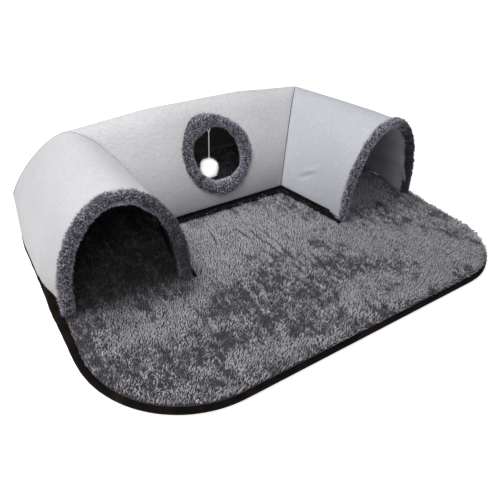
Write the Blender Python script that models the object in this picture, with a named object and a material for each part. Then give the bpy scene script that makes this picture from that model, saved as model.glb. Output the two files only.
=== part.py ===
"""Collapsible cat tunnel: a padded U-shaped tunnel in three mitred sections, zipped to a plush mat.

Metres, +Z up. The origin is on the floor under the middle of the whole thing. +X runs along the
tunnel's back section, and +Y runs from the mat's open front edge to the back of the tunnel.
"""

import math

import bmesh
import bpy
from mathutils import Matrix, Vector

# Clearances
GAP = 0.0003
SEAM_GAP = 0.0003
SLOT_GAP = 0.0008
CUT_OVERRUN = 0.003
WINDOW_BULGE = 0.012
CUT_DEPTH_SHARES = (0.33, 0.67)

# Plan of the whole: the mat's width, the depth of it all, the open floor in front of the mouths,
# and how far the tunnel's centre line lies inside the mat's sides
MAT_WIDTH = 0.932
OVERALL_DEPTH = 0.777
FRONT_FLOOR_SHARE = 0.3964
MOUTH_INSET = 0.1405
CORNER_INSET = 0.166

# Arch at the mouths: half width, rise above the upright foot, and height of that foot
MOUTH_HALF_WIDTH = 0.121
MOUTH_RISE = 0.204
MOUTH_FOOT = 0.017
MOUTH_LEAN_SHARE = 0.0

# Arch of the back section, whose sides lean in, and how it changes towards the corners
BACK_HALF_WIDTH = 0.143
BACK_RISE = 0.2065
BACK_FOOT = 0.011
BACK_INSIDE_LEAN_SHARE = 0.36
BACK_OUTSIDE_LEAN_SHARE = 0.46
CORNER_OUTSIDE_SHARE = 1.0
CORNER_RISE_SHARE = 0.915
BACK_STRAIGHT_HALF = 0.125

# The arms' outside wall spreads behind the mouth, until it reaches the edge of the mat
OUTSIDE_SPREAD = 0.018

# Wall: suede cover, foam core and lining
COVER_THICKNESS = 0.0015
FOAM_THICKNESS = 0.008
LINING_THICKNESS = 0.0012
ARCH_STEPS = 30

# The cover's outside hem hangs over the edge of the mat, from behind the mouths on
HEM_DROP = 0.019
HEM_START = 0.090
HEM_FULL = 0.120
COLLAR_LENGTH = 0.020
ARM_MIDDLE_SHARE = 0.6116

# Plush rims, rolls slotted over the raw edge of the wall
MOUTH_ROLL_RADIUS = 0.0136
WINDOW_ROLL_RADIUS = 0.016
EDGE_IN_ROLL = 0.002
ROLL_STEPS = 11

# Round window in the back section
WINDOW_OFFSET = 0.004
WINDOW_CENTRE_HEIGHT = 0.119
WINDOW_HALF_WIDTH = 0.079
WINDOW_HALF_LENGTH = 0.082
WINDOW_STEPS = 36

# Mat
MAT_LEFT_RADIUS = 0.215
MAT_RIGHT_RADIUS = 0.150
MAT_FLARE_LENGTH = 0.080
MAT_CORNER_STEPS = 10
MAT_FLARE_STEPS = 6
BASE_CLOTH = 0.0012
BINDING_CLOTH = 0.0012
BINDING_LAP = 0.009
PAD_THICKNESS = 0.0112
PLUSH_THICKNESS = 0.0117
PLUSH_EDGE_INSET = 0.006
PLUSH_SHOULDER = 0.006
PLUSH_SHOULDER_SHARES = ((0.0, 0.60), (0.33, 0.88), (1.0, 1.0))

# Zip along the tunnel's inner base
TAPE_THICKNESS = 0.0008
ROW_WIDTH = 0.0022
ROW_HEIGHT = 0.0020
ROW_SPACING = 0.0012
ROW_LIFT = 0.0018
ROW_OFF_WALL = 0.0024
SHELL_TAPE_HEIGHT = 0.0076
MAT_TAPE_WIDTH = 0.0085
MAT_TAPE_FLAT = 0.0016
MAT_TAPE_FRONT = 0.010
STOP_LENGTH = 0.0042

# Zip slider and its pull
SLIDER_LENGTH = 0.011
SLIDER_REST = 0.0295
SLIDER_OVERHANG = 0.0006
SLIDER_TOP_PLATE = 0.0011
SLIDER_BASE_PLATE = 0.0009
SLIDER_WEB = 0.0006
SLIDER_TAPER_SHARES = ((0.0, 0.62), (0.2, 0.8), (0.6, 1.0), (0.9, 1.0), (1.0, 0.8))
BAIL_HALF_LENGTH = 0.0034
BAIL_WIRE = 0.0009
BAIL_HEIGHT = 0.0030
BAIL_HALF_WIDTH = 0.0009
PULL_LENGTH = 0.018
PULL_HALF_WIDTH = 0.0029
PULL_TIP_HALF_WIDTH = 0.0021
PULL_THICKNESS = 0.0008
PULL_BAR = 0.0009
PULL_SLOT_LENGTH = 0.0042
PULL_SLOT_HALF_WIDTH = 0.0015
PULL_CLEARANCE = 0.0006

# Hanging toy
LOOP_FORWARD = 0.006
LOOP_HALF_WIDTH = 0.0035
LOOP_DROP = 0.008
LOOP_CORD_RADIUS = 0.0008
EYE_RADIUS = 0.0028
EYE_CORD_RADIUS = 0.0006
STRING_RADIUS = 0.0011
BALL_RADIUS = 0.0245
TOY_DROP = 0.099
TOY_STEPS = 12
CORD_SIDES = 8

# What follows from those sizes
WALL = COVER_THICKNESS + GAP + FOAM_THICKNESS + GAP + LINING_THICKNESS
FOAM_OUT = COVER_THICKNESS + GAP
FOAM_IN = FOAM_OUT + FOAM_THICKNESS
LINING_OUT = FOAM_IN + GAP
CENTRE_Y = OVERALL_DEPTH / 2 - BACK_HALF_WIDTH
MOUTH_Y = OVERALL_DEPTH * FRONT_FLOOR_SHARE - OVERALL_DEPTH / 2
BASE_TOP = GAP + BINDING_CLOTH + GAP + BASE_CLOTH
PAD_TOP = BASE_TOP + GAP + PAD_THICKNESS
LAP_TOP = PAD_TOP + GAP + BINDING_CLOTH
MAT_TOP = LAP_TOP + GAP + PLUSH_THICKNESS
TUNNEL_BASE = MAT_TOP + GAP
MAT_OFF_COVER = COVER_THICKNESS + 2 * GAP

COLOURS = {
    "suede": (0.62, 0.62, 0.65),
    "foam": (0.75, 0.73, 0.66),
    "lining": (0.25, 0.25, 0.27),
    "plush": (0.16, 0.155, 0.17),
    "rim_plush": (0.13, 0.125, 0.14),
    "binding": (0.018, 0.015, 0.014),
    "base_cloth": (0.03, 0.03, 0.032),
    "zip": (0.012, 0.012, 0.013),
    "slider": (0.05, 0.05, 0.052),
    "string": (0.72, 0.72, 0.72),
    "ball": (0.86, 0.86, 0.86),
}
METALLIC_SHARES = {"slider": 0.9}
ROUGHNESS_SHARES = {"slider": 0.4, "zip": 0.6}
SMOOTH_ANGLE = math.radians(38)


def clear_scene():
    for item in list(bpy.data.objects):
        bpy.data.objects.remove(item, do_unlink=True)


def material(name):
    """The Principled material of one finish, made once."""
    found = bpy.data.materials.get(name)
    if found:
        return found
    made = bpy.data.materials.new(name)
    made.use_nodes = True
    shader = made.node_tree.nodes["Principled BSDF"]
    shader.inputs["Base Color"].default_value = (*COLOURS[name], 1.0)
    shader.inputs["Metallic"].default_value = METALLIC_SHARES.get(name, 0.0)
    shader.inputs["Roughness"].default_value = ROUGHNESS_SHARES.get(name, 0.9)
    return made


def empty(name, place):
    """The parent of one moving body, at its joint."""
    made = bpy.data.objects.new(name, None)
    made.location = place
    bpy.context.scene.collection.objects.link(made)
    return made


def solid(name, corners, faces, finish, parent, origin=None):
    """One closed body from world corners, with its faces turned outwards."""
    origin = Vector(origin) if origin is not None else parent.location.copy()
    shape = bmesh.new()
    points = [shape.verts.new(Vector(c) - origin) for c in corners]
    for face in faces:
        shape.faces.new([points[i] for i in face])
    bmesh.ops.recalc_face_normals(shape, faces=shape.faces)
    mesh = bpy.data.meshes.new(name)
    shape.to_mesh(mesh)
    shape.free()
    mesh.materials.append(material(finish))
    mesh.shade_smooth()
    mesh.set_sharp_from_angle(angle=SMOOTH_ANGLE)
    made = bpy.data.objects.new(name, mesh)
    bpy.context.scene.collection.objects.link(made)
    made.parent = parent
    made.location = origin - parent.location
    return made


def cut(target, cutter, operation):
    """Leaves a Boolean on the target, and marks its tool as a guide that isn't part of the model."""
    cutter.hide_render = True
    cutter.display_type = "WIRE"
    change = target.modifiers.new(operation.lower(), "BOOLEAN")
    change.operation = operation
    change.solver = "EXACT"
    change.object = cutter


def mix(a, b, share):
    return a + (b - a) * share


def loft(rings, closed_path=False):
    """Corners and faces of a body whose closed cross-sections are rings, with flat ends if it is open."""
    count = len(rings[0])
    corners = [p for ring in rings for p in ring]
    faces = []
    spans = len(rings) if closed_path else len(rings) - 1
    for k in range(spans):
        low = k * count
        high = (k + 1) % len(rings) * count
        for i in range(count):
            j = (i + 1) % count
            faces.append((low + i, low + j, high + j))
            faces.append((low + i, high + j, high + i))
    if not closed_path:
        faces.append(tuple(range(count)))
        faces.append(tuple(len(corners) - count + i for i in range(count)))
    return corners, faces


def offset_open(points, depth):
    """An open line of (a, b) points moved to its left by depth, mitred at each bend."""
    normals = []
    for p, q in zip(points, points[1:]):
        run = (Vector(q) - Vector(p)).normalized()
        normals.append(Vector((-run.y, run.x)))
    moved = []
    for i, p in enumerate(points):
        before = normals[max(i - 1, 0)]
        after = normals[min(i, len(normals) - 1)]
        moved.append(Vector(p) + (before + after) * (depth / (1 + before.dot(after))))
    return moved


def offset_closed(points, depth):
    """A closed anticlockwise outline moved inwards by depth, mitred at each bend."""
    ring = [points[-1], *points, points[0]]
    return offset_open(ring, depth)[1:-1]


# The tunnel wall

class Station:
    """One cross-section of the wall: a point on the centre line, the way across, and an arch."""

    def __init__(self, origin, across, arch, hem=0.0):
        self.origin = Vector(origin)
        self.across = Vector(across)
        self.arch = arch
        self.hem = hem

    def outline(self):
        """(across, height) points from the inside foot over the crown to the outside foot."""
        inside, outside, rise, foot, inside_lean_share, outside_lean_share = self.arch
        points = [(inside, 0.0)]
        for i in range(ARCH_STEPS + 1):
            angle = math.pi * i / ARCH_STEPS
            half, lean_share = inside, inside_lean_share
            if 2 * i >= ARCH_STEPS:
                half, lean_share = outside, outside_lean_share
            reach = half * math.cos(angle) * (1 - lean_share * math.sin(angle))
            points.append((reach, foot + rise * math.sin(angle)))
        points.append((-outside, 0.0))
        return points

    def place(self, across, height):
        spot = self.origin + self.across * across
        return Vector((spot.x, spot.y, TUNNEL_BASE + height))

    def ring(self, depth, hem=False):
        """The wall's surface at that depth below the cover, as world points."""
        points = [self.place(*p) for p in offset_open(self.outline(), depth)]
        if hem:
            points[-1].z -= self.hem
        return points

    def mirrored(self):
        flip = Vector((-1, 1))
        return Station(self.origin * flip, self.across * flip, self.arch, self.hem)


class Arch(tuple):
    """Inside and outside half widths, rise, foot height, and lean of both sides of an arch."""

    def towards(self, other, share):
        return Arch(mix(a, b, share) for a, b in zip(self, other))

    def spread(self, further):
        """The same arch with its outside foot further out."""
        inside, outside, *rest = self
        return Arch((inside, outside + further, *rest))


MOUTH_ARCH = Arch((MOUTH_HALF_WIDTH, MOUTH_HALF_WIDTH, MOUTH_RISE, MOUTH_FOOT, MOUTH_LEAN_SHARE,
                   MOUTH_LEAN_SHARE))
BACK_ARCH = Arch((BACK_HALF_WIDTH, BACK_HALF_WIDTH, BACK_RISE, BACK_FOOT, BACK_INSIDE_LEAN_SHARE,
                  BACK_OUTSIDE_LEAN_SHARE))
CORNER_ARCH = Arch((BACK_HALF_WIDTH, BACK_HALF_WIDTH * CORNER_OUTSIDE_SHARE, BACK_RISE * CORNER_RISE_SHARE,
                    BACK_FOOT, BACK_INSIDE_LEAN_SHARE, BACK_OUTSIDE_LEAN_SHARE))

CORNER_HALF_SPAN = MAT_WIDTH / 2 - CORNER_INSET
MOUTH_POINT = Vector((MOUTH_INSET - MAT_WIDTH / 2, MOUTH_Y))
CORNER_POINT = Vector((-CORNER_HALF_SPAN, CENTRE_Y))
ARM_AXIS = (CORNER_POINT - MOUTH_POINT).normalized()
ARM_LENGTH = (CORNER_POINT - MOUTH_POINT).length
ARM_MIDDLE = ARM_LENGTH * ARM_MIDDLE_SHARE
ARM_ACROSS = Vector((ARM_AXIS.y, -ARM_AXIS.x))
BACK_ACROSS = Vector((0.0, -1.0))
MITRE_ACROSS = (ARM_ACROSS + BACK_ACROSS) / (1 + ARM_ACROSS.dot(BACK_ACROSS))


def arm_station(distance):
    """The left arm's cross-section at that distance behind its mouth."""
    share = max(0.0, (distance - COLLAR_LENGTH) / (ARM_LENGTH - COLLAR_LENGTH))
    hem_share = min(1.0, max(0.0, (distance - HEM_START) / (HEM_FULL - HEM_START)))
    grow_share = max(0.0, (distance - COLLAR_LENGTH) / (HEM_START - COLLAR_LENGTH))
    fade_share = (ARM_LENGTH - distance) / (ARM_LENGTH - ARM_MIDDLE)
    arch = MOUTH_ARCH.towards(CORNER_ARCH, share).spread(OUTSIDE_SPREAD * min(1.0, grow_share, fade_share))
    seam = SEAM_GAP * share
    return Station(MOUTH_POINT + ARM_AXIS * (distance - seam), ARM_ACROSS.lerp(MITRE_ACROSS, share),
                   arch, HEM_DROP * hem_share)


def arm_stations(mirror):
    places = (-EDGE_IN_ROLL, COLLAR_LENGTH, HEM_START, HEM_FULL, ARM_MIDDLE, ARM_LENGTH)
    stations = [arm_station(distance) for distance in places]
    return [s.mirrored() for s in stations] if mirror else stations


def back_stations():
    """The back section from its left corner to its right one, straight behind the window."""
    left = []
    for share in (1.0, 0.5, 0.0):
        x = mix(-BACK_STRAIGHT_HALF, -CORNER_HALF_SPAN + SEAM_GAP, share)
        left.append(Station((x, CENTRE_Y), BACK_ACROSS.lerp(MITRE_ACROSS, share),
                            BACK_ARCH.towards(CORNER_ARCH, share), HEM_DROP))
    return left + [s.mirrored() for s in reversed(left)]


def wall_layer(name, stations, outer, inner, finish, parent, hem=False):
    """One layer of a section of the wall, between two depths below the cover."""
    rings = []
    for station in stations:
        outside = station.ring(outer, hem)
        inside = station.ring(inner, hem)
        rings.append(outside + inside[::-1])
    count = len(rings[0])
    corners = [p for ring in rings for p in ring]
    faces = []
    for k in range(len(rings) - 1):
        low, high = k * count, (k + 1) * count
        for i in range(count):
            j = (i + 1) % count
            # Both skins are split along the same diagonals, so that layers stay parallel.
            if i < count // 2:
                faces.append((low + i, low + j, high + j))
                faces.append((low + i, high + j, high + i))
            else:
                faces.append((low + i, low + j, high + i))
                faces.append((low + j, high + j, high + i))
    for start in (0, len(corners) - count):
        for i in range(count // 2 - 1):
            far = count - 1 - i
            faces.append((start + i, start + i + 1, start + far - 1, start + far))
    return solid(name, corners, faces, finish, parent)


def roll_section(radius, wall_gap):
    """A round roll slotted for the wall, as (towards the open edge, out of the wall) points."""
    half_slot = WALL / 2 + wall_gap
    first = math.asin(half_slot / radius)
    points = []
    for i in range(ROLL_STEPS + 1):
        angle = mix(math.pi - first, -math.pi + first, i / ROLL_STEPS)
        points.append((radius * math.cos(angle), radius * math.sin(angle)))
    bottom = EDGE_IN_ROLL + wall_gap
    return points + [(bottom, -half_slot), (bottom, half_slot)]


def mouth_rim(name, mirror, parent):
    """The plush roll round a mouth, from foot to foot on the mat."""
    station = Station(MOUTH_POINT, ARM_ACROSS, MOUTH_ARCH)
    forward = -ARM_AXIS
    if mirror:
        station = station.mirrored()
        forward = forward * Vector((-1, 1))
    section = roll_section(MOUTH_ROLL_RADIUS, GAP)
    skins = []
    for ahead, out in section:
        step = Vector((forward.x, forward.y, 0.0)) * ahead
        skins.append([p + step for p in station.ring(WALL / 2 - out)])
    rings = [list(ring) for ring in zip(*skins)]
    corners, faces = loft(rings)
    return solid(name, corners, faces, "rim_plush", parent)


class WindowWall:
    """The straight middle of the back wall as a sheet: x along it, s up it from the inside foot."""

    def __init__(self):
        self.station = Station((0.0, CENTRE_Y), BACK_ACROSS, BACK_ARCH)
        self.outline = [Vector(p) for p in self.station.outline()]
        self.lengths = [0.0]
        for p, q in zip(self.outline, self.outline[1:]):
            self.lengths.append(self.lengths[-1] + (q - p).length)

    def distance_up(self, height):
        for i, (p, q) in enumerate(zip(self.outline, self.outline[1:])):
            if p.y <= height < q.y:
                return mix(self.lengths[i], self.lengths[i + 1], (height - p.y) / (q.y - p.y))
        raise ValueError("the window's centre is above the crown")

    def point(self, x, s, depth):
        """World point at that depth below the cover."""
        moved = offset_open(self.outline, depth)
        i = max(k for k, at in enumerate(self.lengths[:-1]) if at <= s)
        share = (s - self.lengths[i]) / (self.lengths[i + 1] - self.lengths[i])
        spot = moved[i].lerp(moved[i + 1], share)
        return self.station.place(spot.x, spot.y) + Vector((x, 0.0, 0.0))


def window_ring(wall, centre_up, inwards, depth):
    """World points round the window, that far inside the middle of its roll."""
    points = []
    for i in range(WINDOW_STEPS):
        angle = math.tau * i / WINDOW_STEPS
        x = WINDOW_OFFSET + (WINDOW_HALF_WIDTH - inwards) * math.cos(angle)
        s = centre_up + (WINDOW_HALF_LENGTH - inwards) * math.sin(angle)
        points.append(wall.point(x, s, depth))
    return points


def window_parts(layers, parent):
    """Cuts the round window through the layers and returns its rim and the roll's topmost middle."""
    wall = WindowWall()
    centre_up = wall.distance_up(WINDOW_CENTRE_HEIGHT)
    # The wall bulges between the window's edges, so the cutter starts well outside it.
    depths = (-WINDOW_BULGE - CUT_OVERRUN, -CUT_OVERRUN, *(WALL * share for share in CUT_DEPTH_SHARES),
              WALL + CUT_OVERRUN)
    edge = [window_ring(wall, centre_up, EDGE_IN_ROLL, depth) for depth in depths]
    for layer in layers:
        corners, faces = loft(edge)
        cutter = solid(layer.name + "_window_cut", corners, faces, "foam", parent)
        cut(layer, cutter, "DIFFERENCE")
    skins = [window_ring(wall, centre_up, ahead, WALL / 2 - out)
             for ahead, out in roll_section(WINDOW_ROLL_RADIUS, SLOT_GAP)]
    corners, faces = loft([list(ring) for ring in zip(*skins)], closed_path=True)
    solid("window_rim", corners, faces, "rim_plush", parent)
    return wall.point(WINDOW_OFFSET, centre_up + WINDOW_HALF_LENGTH, WALL / 2)


# The mat

def mat_outline(open_inset=0.0):
    """The mat's plan outline, anticlockwise: rounded front corners, drawn in under the tunnel.

    Its open front part, up to where it goes under the tunnel, lies inwards by open_inset.
    """
    front = -OVERALL_DEPTH / 2 + open_inset
    half_width = MAT_WIDTH / 2 - open_inset
    halves = []
    for radius in (MAT_RIGHT_RADIUS - open_inset, MAT_LEFT_RADIUS - open_inset):
        side = [Vector((half_width - radius * (1 - math.cos(angle)), front + radius * (1 + math.sin(angle))))
                for angle in (-math.pi / 2 * (1 - i / MAT_CORNER_STEPS) for i in range(MAT_CORNER_STEPS + 1))]
        stations = [s.mirrored() for s in (arm_station(HEM_START), arm_station(HEM_FULL),
                                           arm_station(ARM_MIDDLE), arm_station(ARM_LENGTH))]
        feet = [s.origin - s.across * s.arch[1] for s in stations]
        back = [s.mirrored() for s in back_stations()[1:3]]
        feet += [s.origin - s.across * s.arch[1] for s in back]
        inner = [-p for p in offset_open([-p for p in feet], MAT_OFF_COVER)]
        start = Vector((half_width, inner[0].y - MAT_FLARE_LENGTH))
        for i in range(MAT_FLARE_STEPS):
            share = i / MAT_FLARE_STEPS
            smooth_share = share * share * (3 - 2 * share)
            side.append(Vector((mix(start.x, inner[0].x, smooth_share), mix(start.y, inner[0].y, share))))
        halves.append(side + inner)
    right, left = halves
    return right + [Vector((-p.x, p.y)) for p in reversed(left)]


def mat_slab(name, steps, finish, parent):
    """A flat layer of the mat. Its steps are (outline, inset from it, height)."""
    rings = []
    for outline, inset, height in steps:
        rings.append([Vector((p.x, p.y, height)) for p in offset_closed(outline, inset)])
    corners, faces = loft(rings)
    return solid(name, corners, faces, finish, parent)


def mat_layers(parent):
    outline = mat_outline()
    core = BINDING_CLOTH + GAP
    lap = BINDING_LAP + GAP
    lap_bed = GAP + BINDING_CLOTH + GAP
    mat_slab("mat_base_cloth", ((outline, lap, 0.0), (outline, lap, lap_bed), (outline, core, lap_bed),
                                (outline, core, BASE_TOP)), "base_cloth", parent)
    mat_slab("mat_foam_pad", ((outline, core, BASE_TOP + GAP), (outline, core, PAD_TOP)), "foam", parent)
    plush_line = mat_outline(PLUSH_EDGE_INSET)
    plush = [(outline, lap, PAD_TOP + GAP), (outline, lap, LAP_TOP + GAP), (plush_line, 0.0, LAP_TOP + GAP)]
    for inset_share, height_share in PLUSH_SHOULDER_SHARES:
        height = LAP_TOP + GAP + PLUSH_THICKNESS * height_share
        plush.append((plush_line, PLUSH_SHOULDER * inset_share, height))
    mat_slab("mat_plush_top", plush, "plush", parent)
    section = ((0.0, GAP), (0.0, LAP_TOP), (BINDING_LAP, LAP_TOP), (BINDING_LAP, PAD_TOP + GAP),
               (BINDING_CLOTH, PAD_TOP + GAP), (BINDING_CLOTH, GAP + BINDING_CLOTH),
               (BINDING_LAP, GAP + BINDING_CLOTH), (BINDING_LAP, GAP))
    skins = [[Vector((p.x, p.y, height)) for p in offset_closed(outline, inset)] for inset, height in section]
    corners, faces = loft([list(ring) for ring in zip(*skins)], closed_path=True)
    solid("mat_edge_binding", corners, faces, "binding", parent)


# The zip

CORNER_FOOT = CORNER_POINT + MITRE_ACROSS * BACK_HALF_WIDTH
COLLAR_FOOT = MOUTH_POINT + ARM_AXIS * COLLAR_LENGTH + ARM_ACROSS * MOUTH_HALF_WIDTH
ZIP_RUN = (CORNER_FOOT - COLLAR_FOOT).normalized()
MAT_ROW = ROW_OFF_WALL + ROW_WIDTH + ROW_SPACING
MAT_TAPE = MAT_ROW + ROW_WIDTH + GAP
TAPE_LIFT = ROW_LIFT + (ROW_HEIGHT - TAPE_THICKNESS) / 2


def zip_path(left_end, right_end):
    """The tunnel's inner base line in plan, from left to right, ending that far from the collars."""
    left = [COLLAR_FOOT + ZIP_RUN * left_end, CORNER_FOOT]
    right = [COLLAR_FOOT + ZIP_RUN * right_end, CORNER_FOOT]
    if left_end < 0:
        left = [COLLAR_FOOT + ARM_AXIS * left_end, COLLAR_FOOT, CORNER_FOOT]
    if right_end < 0:
        right = [COLLAR_FOOT + ARM_AXIS * right_end, COLLAR_FOOT, CORNER_FOOT]
    return left + [Vector((-p.x, p.y)) for p in reversed(right)]


def strip(name, path, section, finish, parent):
    """A strip along the path, whose section is (off the wall, above the mat) points."""
    skins = []
    for off, height in section:
        line = offset_open(path, -off)
        skins.append([Vector((p.x, p.y, MAT_TOP + height)) for p in line])
    corners, faces = loft([list(ring) for ring in zip(*skins)])
    return solid(name, corners, faces, finish, parent)


def box_section(low, wide, bottom, tall):
    return ((low, bottom), (low + wide, bottom), (low + wide, bottom + tall), (low, bottom + tall))


def zip_tapes(mat, tunnel):
    """Two rows of teeth on their tapes: one tape lies on the mat, the other stands on the wall."""
    past_slider = SLIDER_REST + SLIDER_LENGTH / 2 + ROW_SPACING - COLLAR_LENGTH
    rows = zip_path(0.0, 0.0)
    shell = zip_path(0.0, past_slider)
    strip("zip_mat_row", rows, box_section(MAT_ROW, ROW_WIDTH, ROW_LIFT, ROW_HEIGHT), "zip", mat)
    strip("zip_shell_row", shell, box_section(ROW_OFF_WALL, ROW_WIDTH, ROW_LIFT, ROW_HEIGHT), "zip", tunnel)
    bend = MAT_TAPE + MAT_TAPE_FLAT
    down = bend + TAPE_LIFT
    tape = ((MAT_TAPE, TAPE_LIFT), (bend, TAPE_LIFT), (down, GAP), (MAT_TAPE + MAT_TAPE_WIDTH, GAP),
            (MAT_TAPE + MAT_TAPE_WIDTH, GAP + TAPE_THICKNESS), (down + TAPE_THICKNESS / 2, GAP + TAPE_THICKNESS),
            (bend + TAPE_THICKNESS / 2, TAPE_LIFT + TAPE_THICKNESS), (MAT_TAPE, TAPE_LIFT + TAPE_THICKNESS))
    ahead = -COLLAR_LENGTH - MAT_TAPE_FRONT
    strip("zip_mat_tape", zip_path(ahead, ahead), tape, "zip", mat)
    face = 2 * GAP
    upright = face + TAPE_THICKNESS
    edge = ROW_OFF_WALL - GAP
    ell = ((face, TAPE_LIFT), (edge, TAPE_LIFT), (edge, TAPE_LIFT + TAPE_THICKNESS),
           (upright, TAPE_LIFT + TAPE_THICKNESS), (upright, TAPE_LIFT + SHELL_TAPE_HEIGHT),
           (face, TAPE_LIFT + SHELL_TAPE_HEIGHT))
    strip("zip_shell_tape", shell, ell, "zip", tunnel)
    stop = box_section(MAT_ROW, ROW_WIDTH, ROW_LIFT - GAP, ROW_HEIGHT + 2 * GAP)
    for name, flip in (("zip_left_stop", 1), ("zip_right_stop", -1)):
        line = [COLLAR_FOOT - ZIP_RUN * (GAP + STOP_LENGTH), COLLAR_FOOT - ZIP_RUN * GAP]
        if flip < 0:
            line = [Vector((-p.x, p.y)) for p in reversed(line)]
        strip(name, line, stop, "slider", mat)


def zip_frame():
    """The slider's place on the right arm: its middle, its way of travel and the way off the wall."""
    start = COLLAR_FOOT + ZIP_RUN * (SLIDER_REST - COLLAR_LENGTH)
    travel = Vector((-ZIP_RUN.x, ZIP_RUN.y, 0.0))
    off_wall = Vector((-ZIP_RUN.y, -ZIP_RUN.x, 0.0))
    origin = Vector((-start.x, start.y, MAT_TOP))
    return origin, travel, off_wall


def zip_slider():
    """The slider body: two plates joined by a web between the rows, and a bail over the top one."""
    origin, travel, off_wall = zip_frame()
    frame = empty("zip_slider_frame", origin)
    middle = ROW_OFF_WALL + ROW_WIDTH + ROW_SPACING / 2
    half = ROW_SPACING / 2 + ROW_WIDTH + SLIDER_OVERHANG
    web = SLIDER_WEB / 2
    base = ROW_LIFT - GAP
    top = ROW_LIFT + ROW_HEIGHT + GAP
    rings = []
    for share, width_share in SLIDER_TAPER_SHARES:
        wide = half * width_share
        section = ((-wide, base - SLIDER_BASE_PLATE), (wide, base - SLIDER_BASE_PLATE), (wide, base),
                   (web, base), (web, top), (wide, top), (wide, top + SLIDER_TOP_PLATE),
                   (-wide, top + SLIDER_TOP_PLATE), (-wide, top), (-web, top), (-web, base), (-wide, base))
        along = SLIDER_LENGTH * (share - 1 / 2)
        rings.append([origin + travel * along + off_wall * (middle + off) + Vector((0, 0, height))
                      for off, height in section])
    corners, faces = loft(rings)
    body = solid("zip_slider", corners, faces, "slider", frame)
    floor = top + SLIDER_TOP_PLATE
    out = BAIL_HALF_LENGTH
    inside = out - BAIL_WIRE
    sunk = floor - SLIDER_TOP_PLATE / 2
    bridge = ((-out, sunk), (-inside, sunk), (-inside, floor + BAIL_HEIGHT - BAIL_WIRE),
              (inside, floor + BAIL_HEIGHT - BAIL_WIRE), (inside, sunk), (out, sunk),
              (out, floor + BAIL_HEIGHT - BAIL_WIRE), (inside, floor + BAIL_HEIGHT),
              (-inside, floor + BAIL_HEIGHT), (-out, floor + BAIL_HEIGHT - BAIL_WIRE))
    sides = [[origin + travel * along + off_wall * (middle + off) + Vector((0, 0, height))
              for along, height in bridge] for off in (-BAIL_HALF_WIDTH, BAIL_HALF_WIDTH)]
    corners, faces = loft(sides)
    cut(body, solid("zip_bail_join", corners, faces, "slider", frame), "UNION")
    zip_pull(origin, travel, off_wall * middle, floor)


def plate_with_hole(name, outer, hole, thickness, place, finish, parent):
    """A plate from two loops of equally many points, one inside the other."""
    count = len(outer)
    corners = []
    for height in (-thickness / 2, thickness / 2):
        corners += [place(a, b, height) for a, b in outer]
        corners += [place(a, b, height) for a, b in hole]
    faces = []
    for i in range(count):
        j = (i + 1) % count
        low_out, low_in, high_out, high_in = (k * count for k in range(4))
        faces.append((low_out + i, low_out + j, low_in + j, low_in + i))
        faces.append((high_out + i, high_out + j, high_in + j, high_in + i))
        faces.append((low_out + i, low_out + j, high_out + j, high_out + i))
        faces.append((low_in + i, low_in + j, high_in + j, high_in + i))
    return solid(name, corners, faces, finish, parent)


def zip_pull(origin, travel, to_middle, floor):
    """The pull tab, hung on the slider's bail by the bar at its end."""
    pivot = origin + to_middle + Vector((0, 0, floor + PULL_CLEARANCE + PULL_THICKNESS / 2))
    side = travel.cross(Vector((0, 0, 1)))
    frame = empty("zip_pull_frame", pivot)
    bar = PULL_BAR / 2
    slot_end = bar + PULL_SLOT_LENGTH
    chamfer = PULL_HALF_WIDTH - PULL_TIP_HALF_WIDTH
    outer = ((-bar, -PULL_HALF_WIDTH), (slot_end, -PULL_HALF_WIDTH), (PULL_LENGTH - chamfer, -PULL_HALF_WIDTH),
             (PULL_LENGTH, -PULL_TIP_HALF_WIDTH), (PULL_LENGTH, PULL_TIP_HALF_WIDTH),
             (PULL_LENGTH - chamfer, PULL_HALF_WIDTH), (slot_end, PULL_HALF_WIDTH), (-bar, PULL_HALF_WIDTH))
    low, wide = bar, PULL_SLOT_HALF_WIDTH
    hole = ((low, -wide), (mix(low, slot_end, 1 / 2), -wide), (slot_end, -wide), (slot_end, -wide / 2),
            (slot_end, wide / 2), (slot_end, wide), (mix(low, slot_end, 1 / 2), wide), (low, wide))
    plate_with_hole("zip_pull", outer, hole, PULL_THICKNESS,
                    lambda a, b, h: pivot + travel * a + side * b + Vector((0, 0, h)), "slider", frame)


# The hanging toy

def round_section(centre, outwards, side, radius, steps):
    """Points round a cord's centre, in the plane of its two cross directions."""
    turns = [math.tau * i / steps for i in range(steps)]
    return [centre + (outwards * math.cos(turn) + side * math.sin(turn)) * radius for turn in turns]


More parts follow.
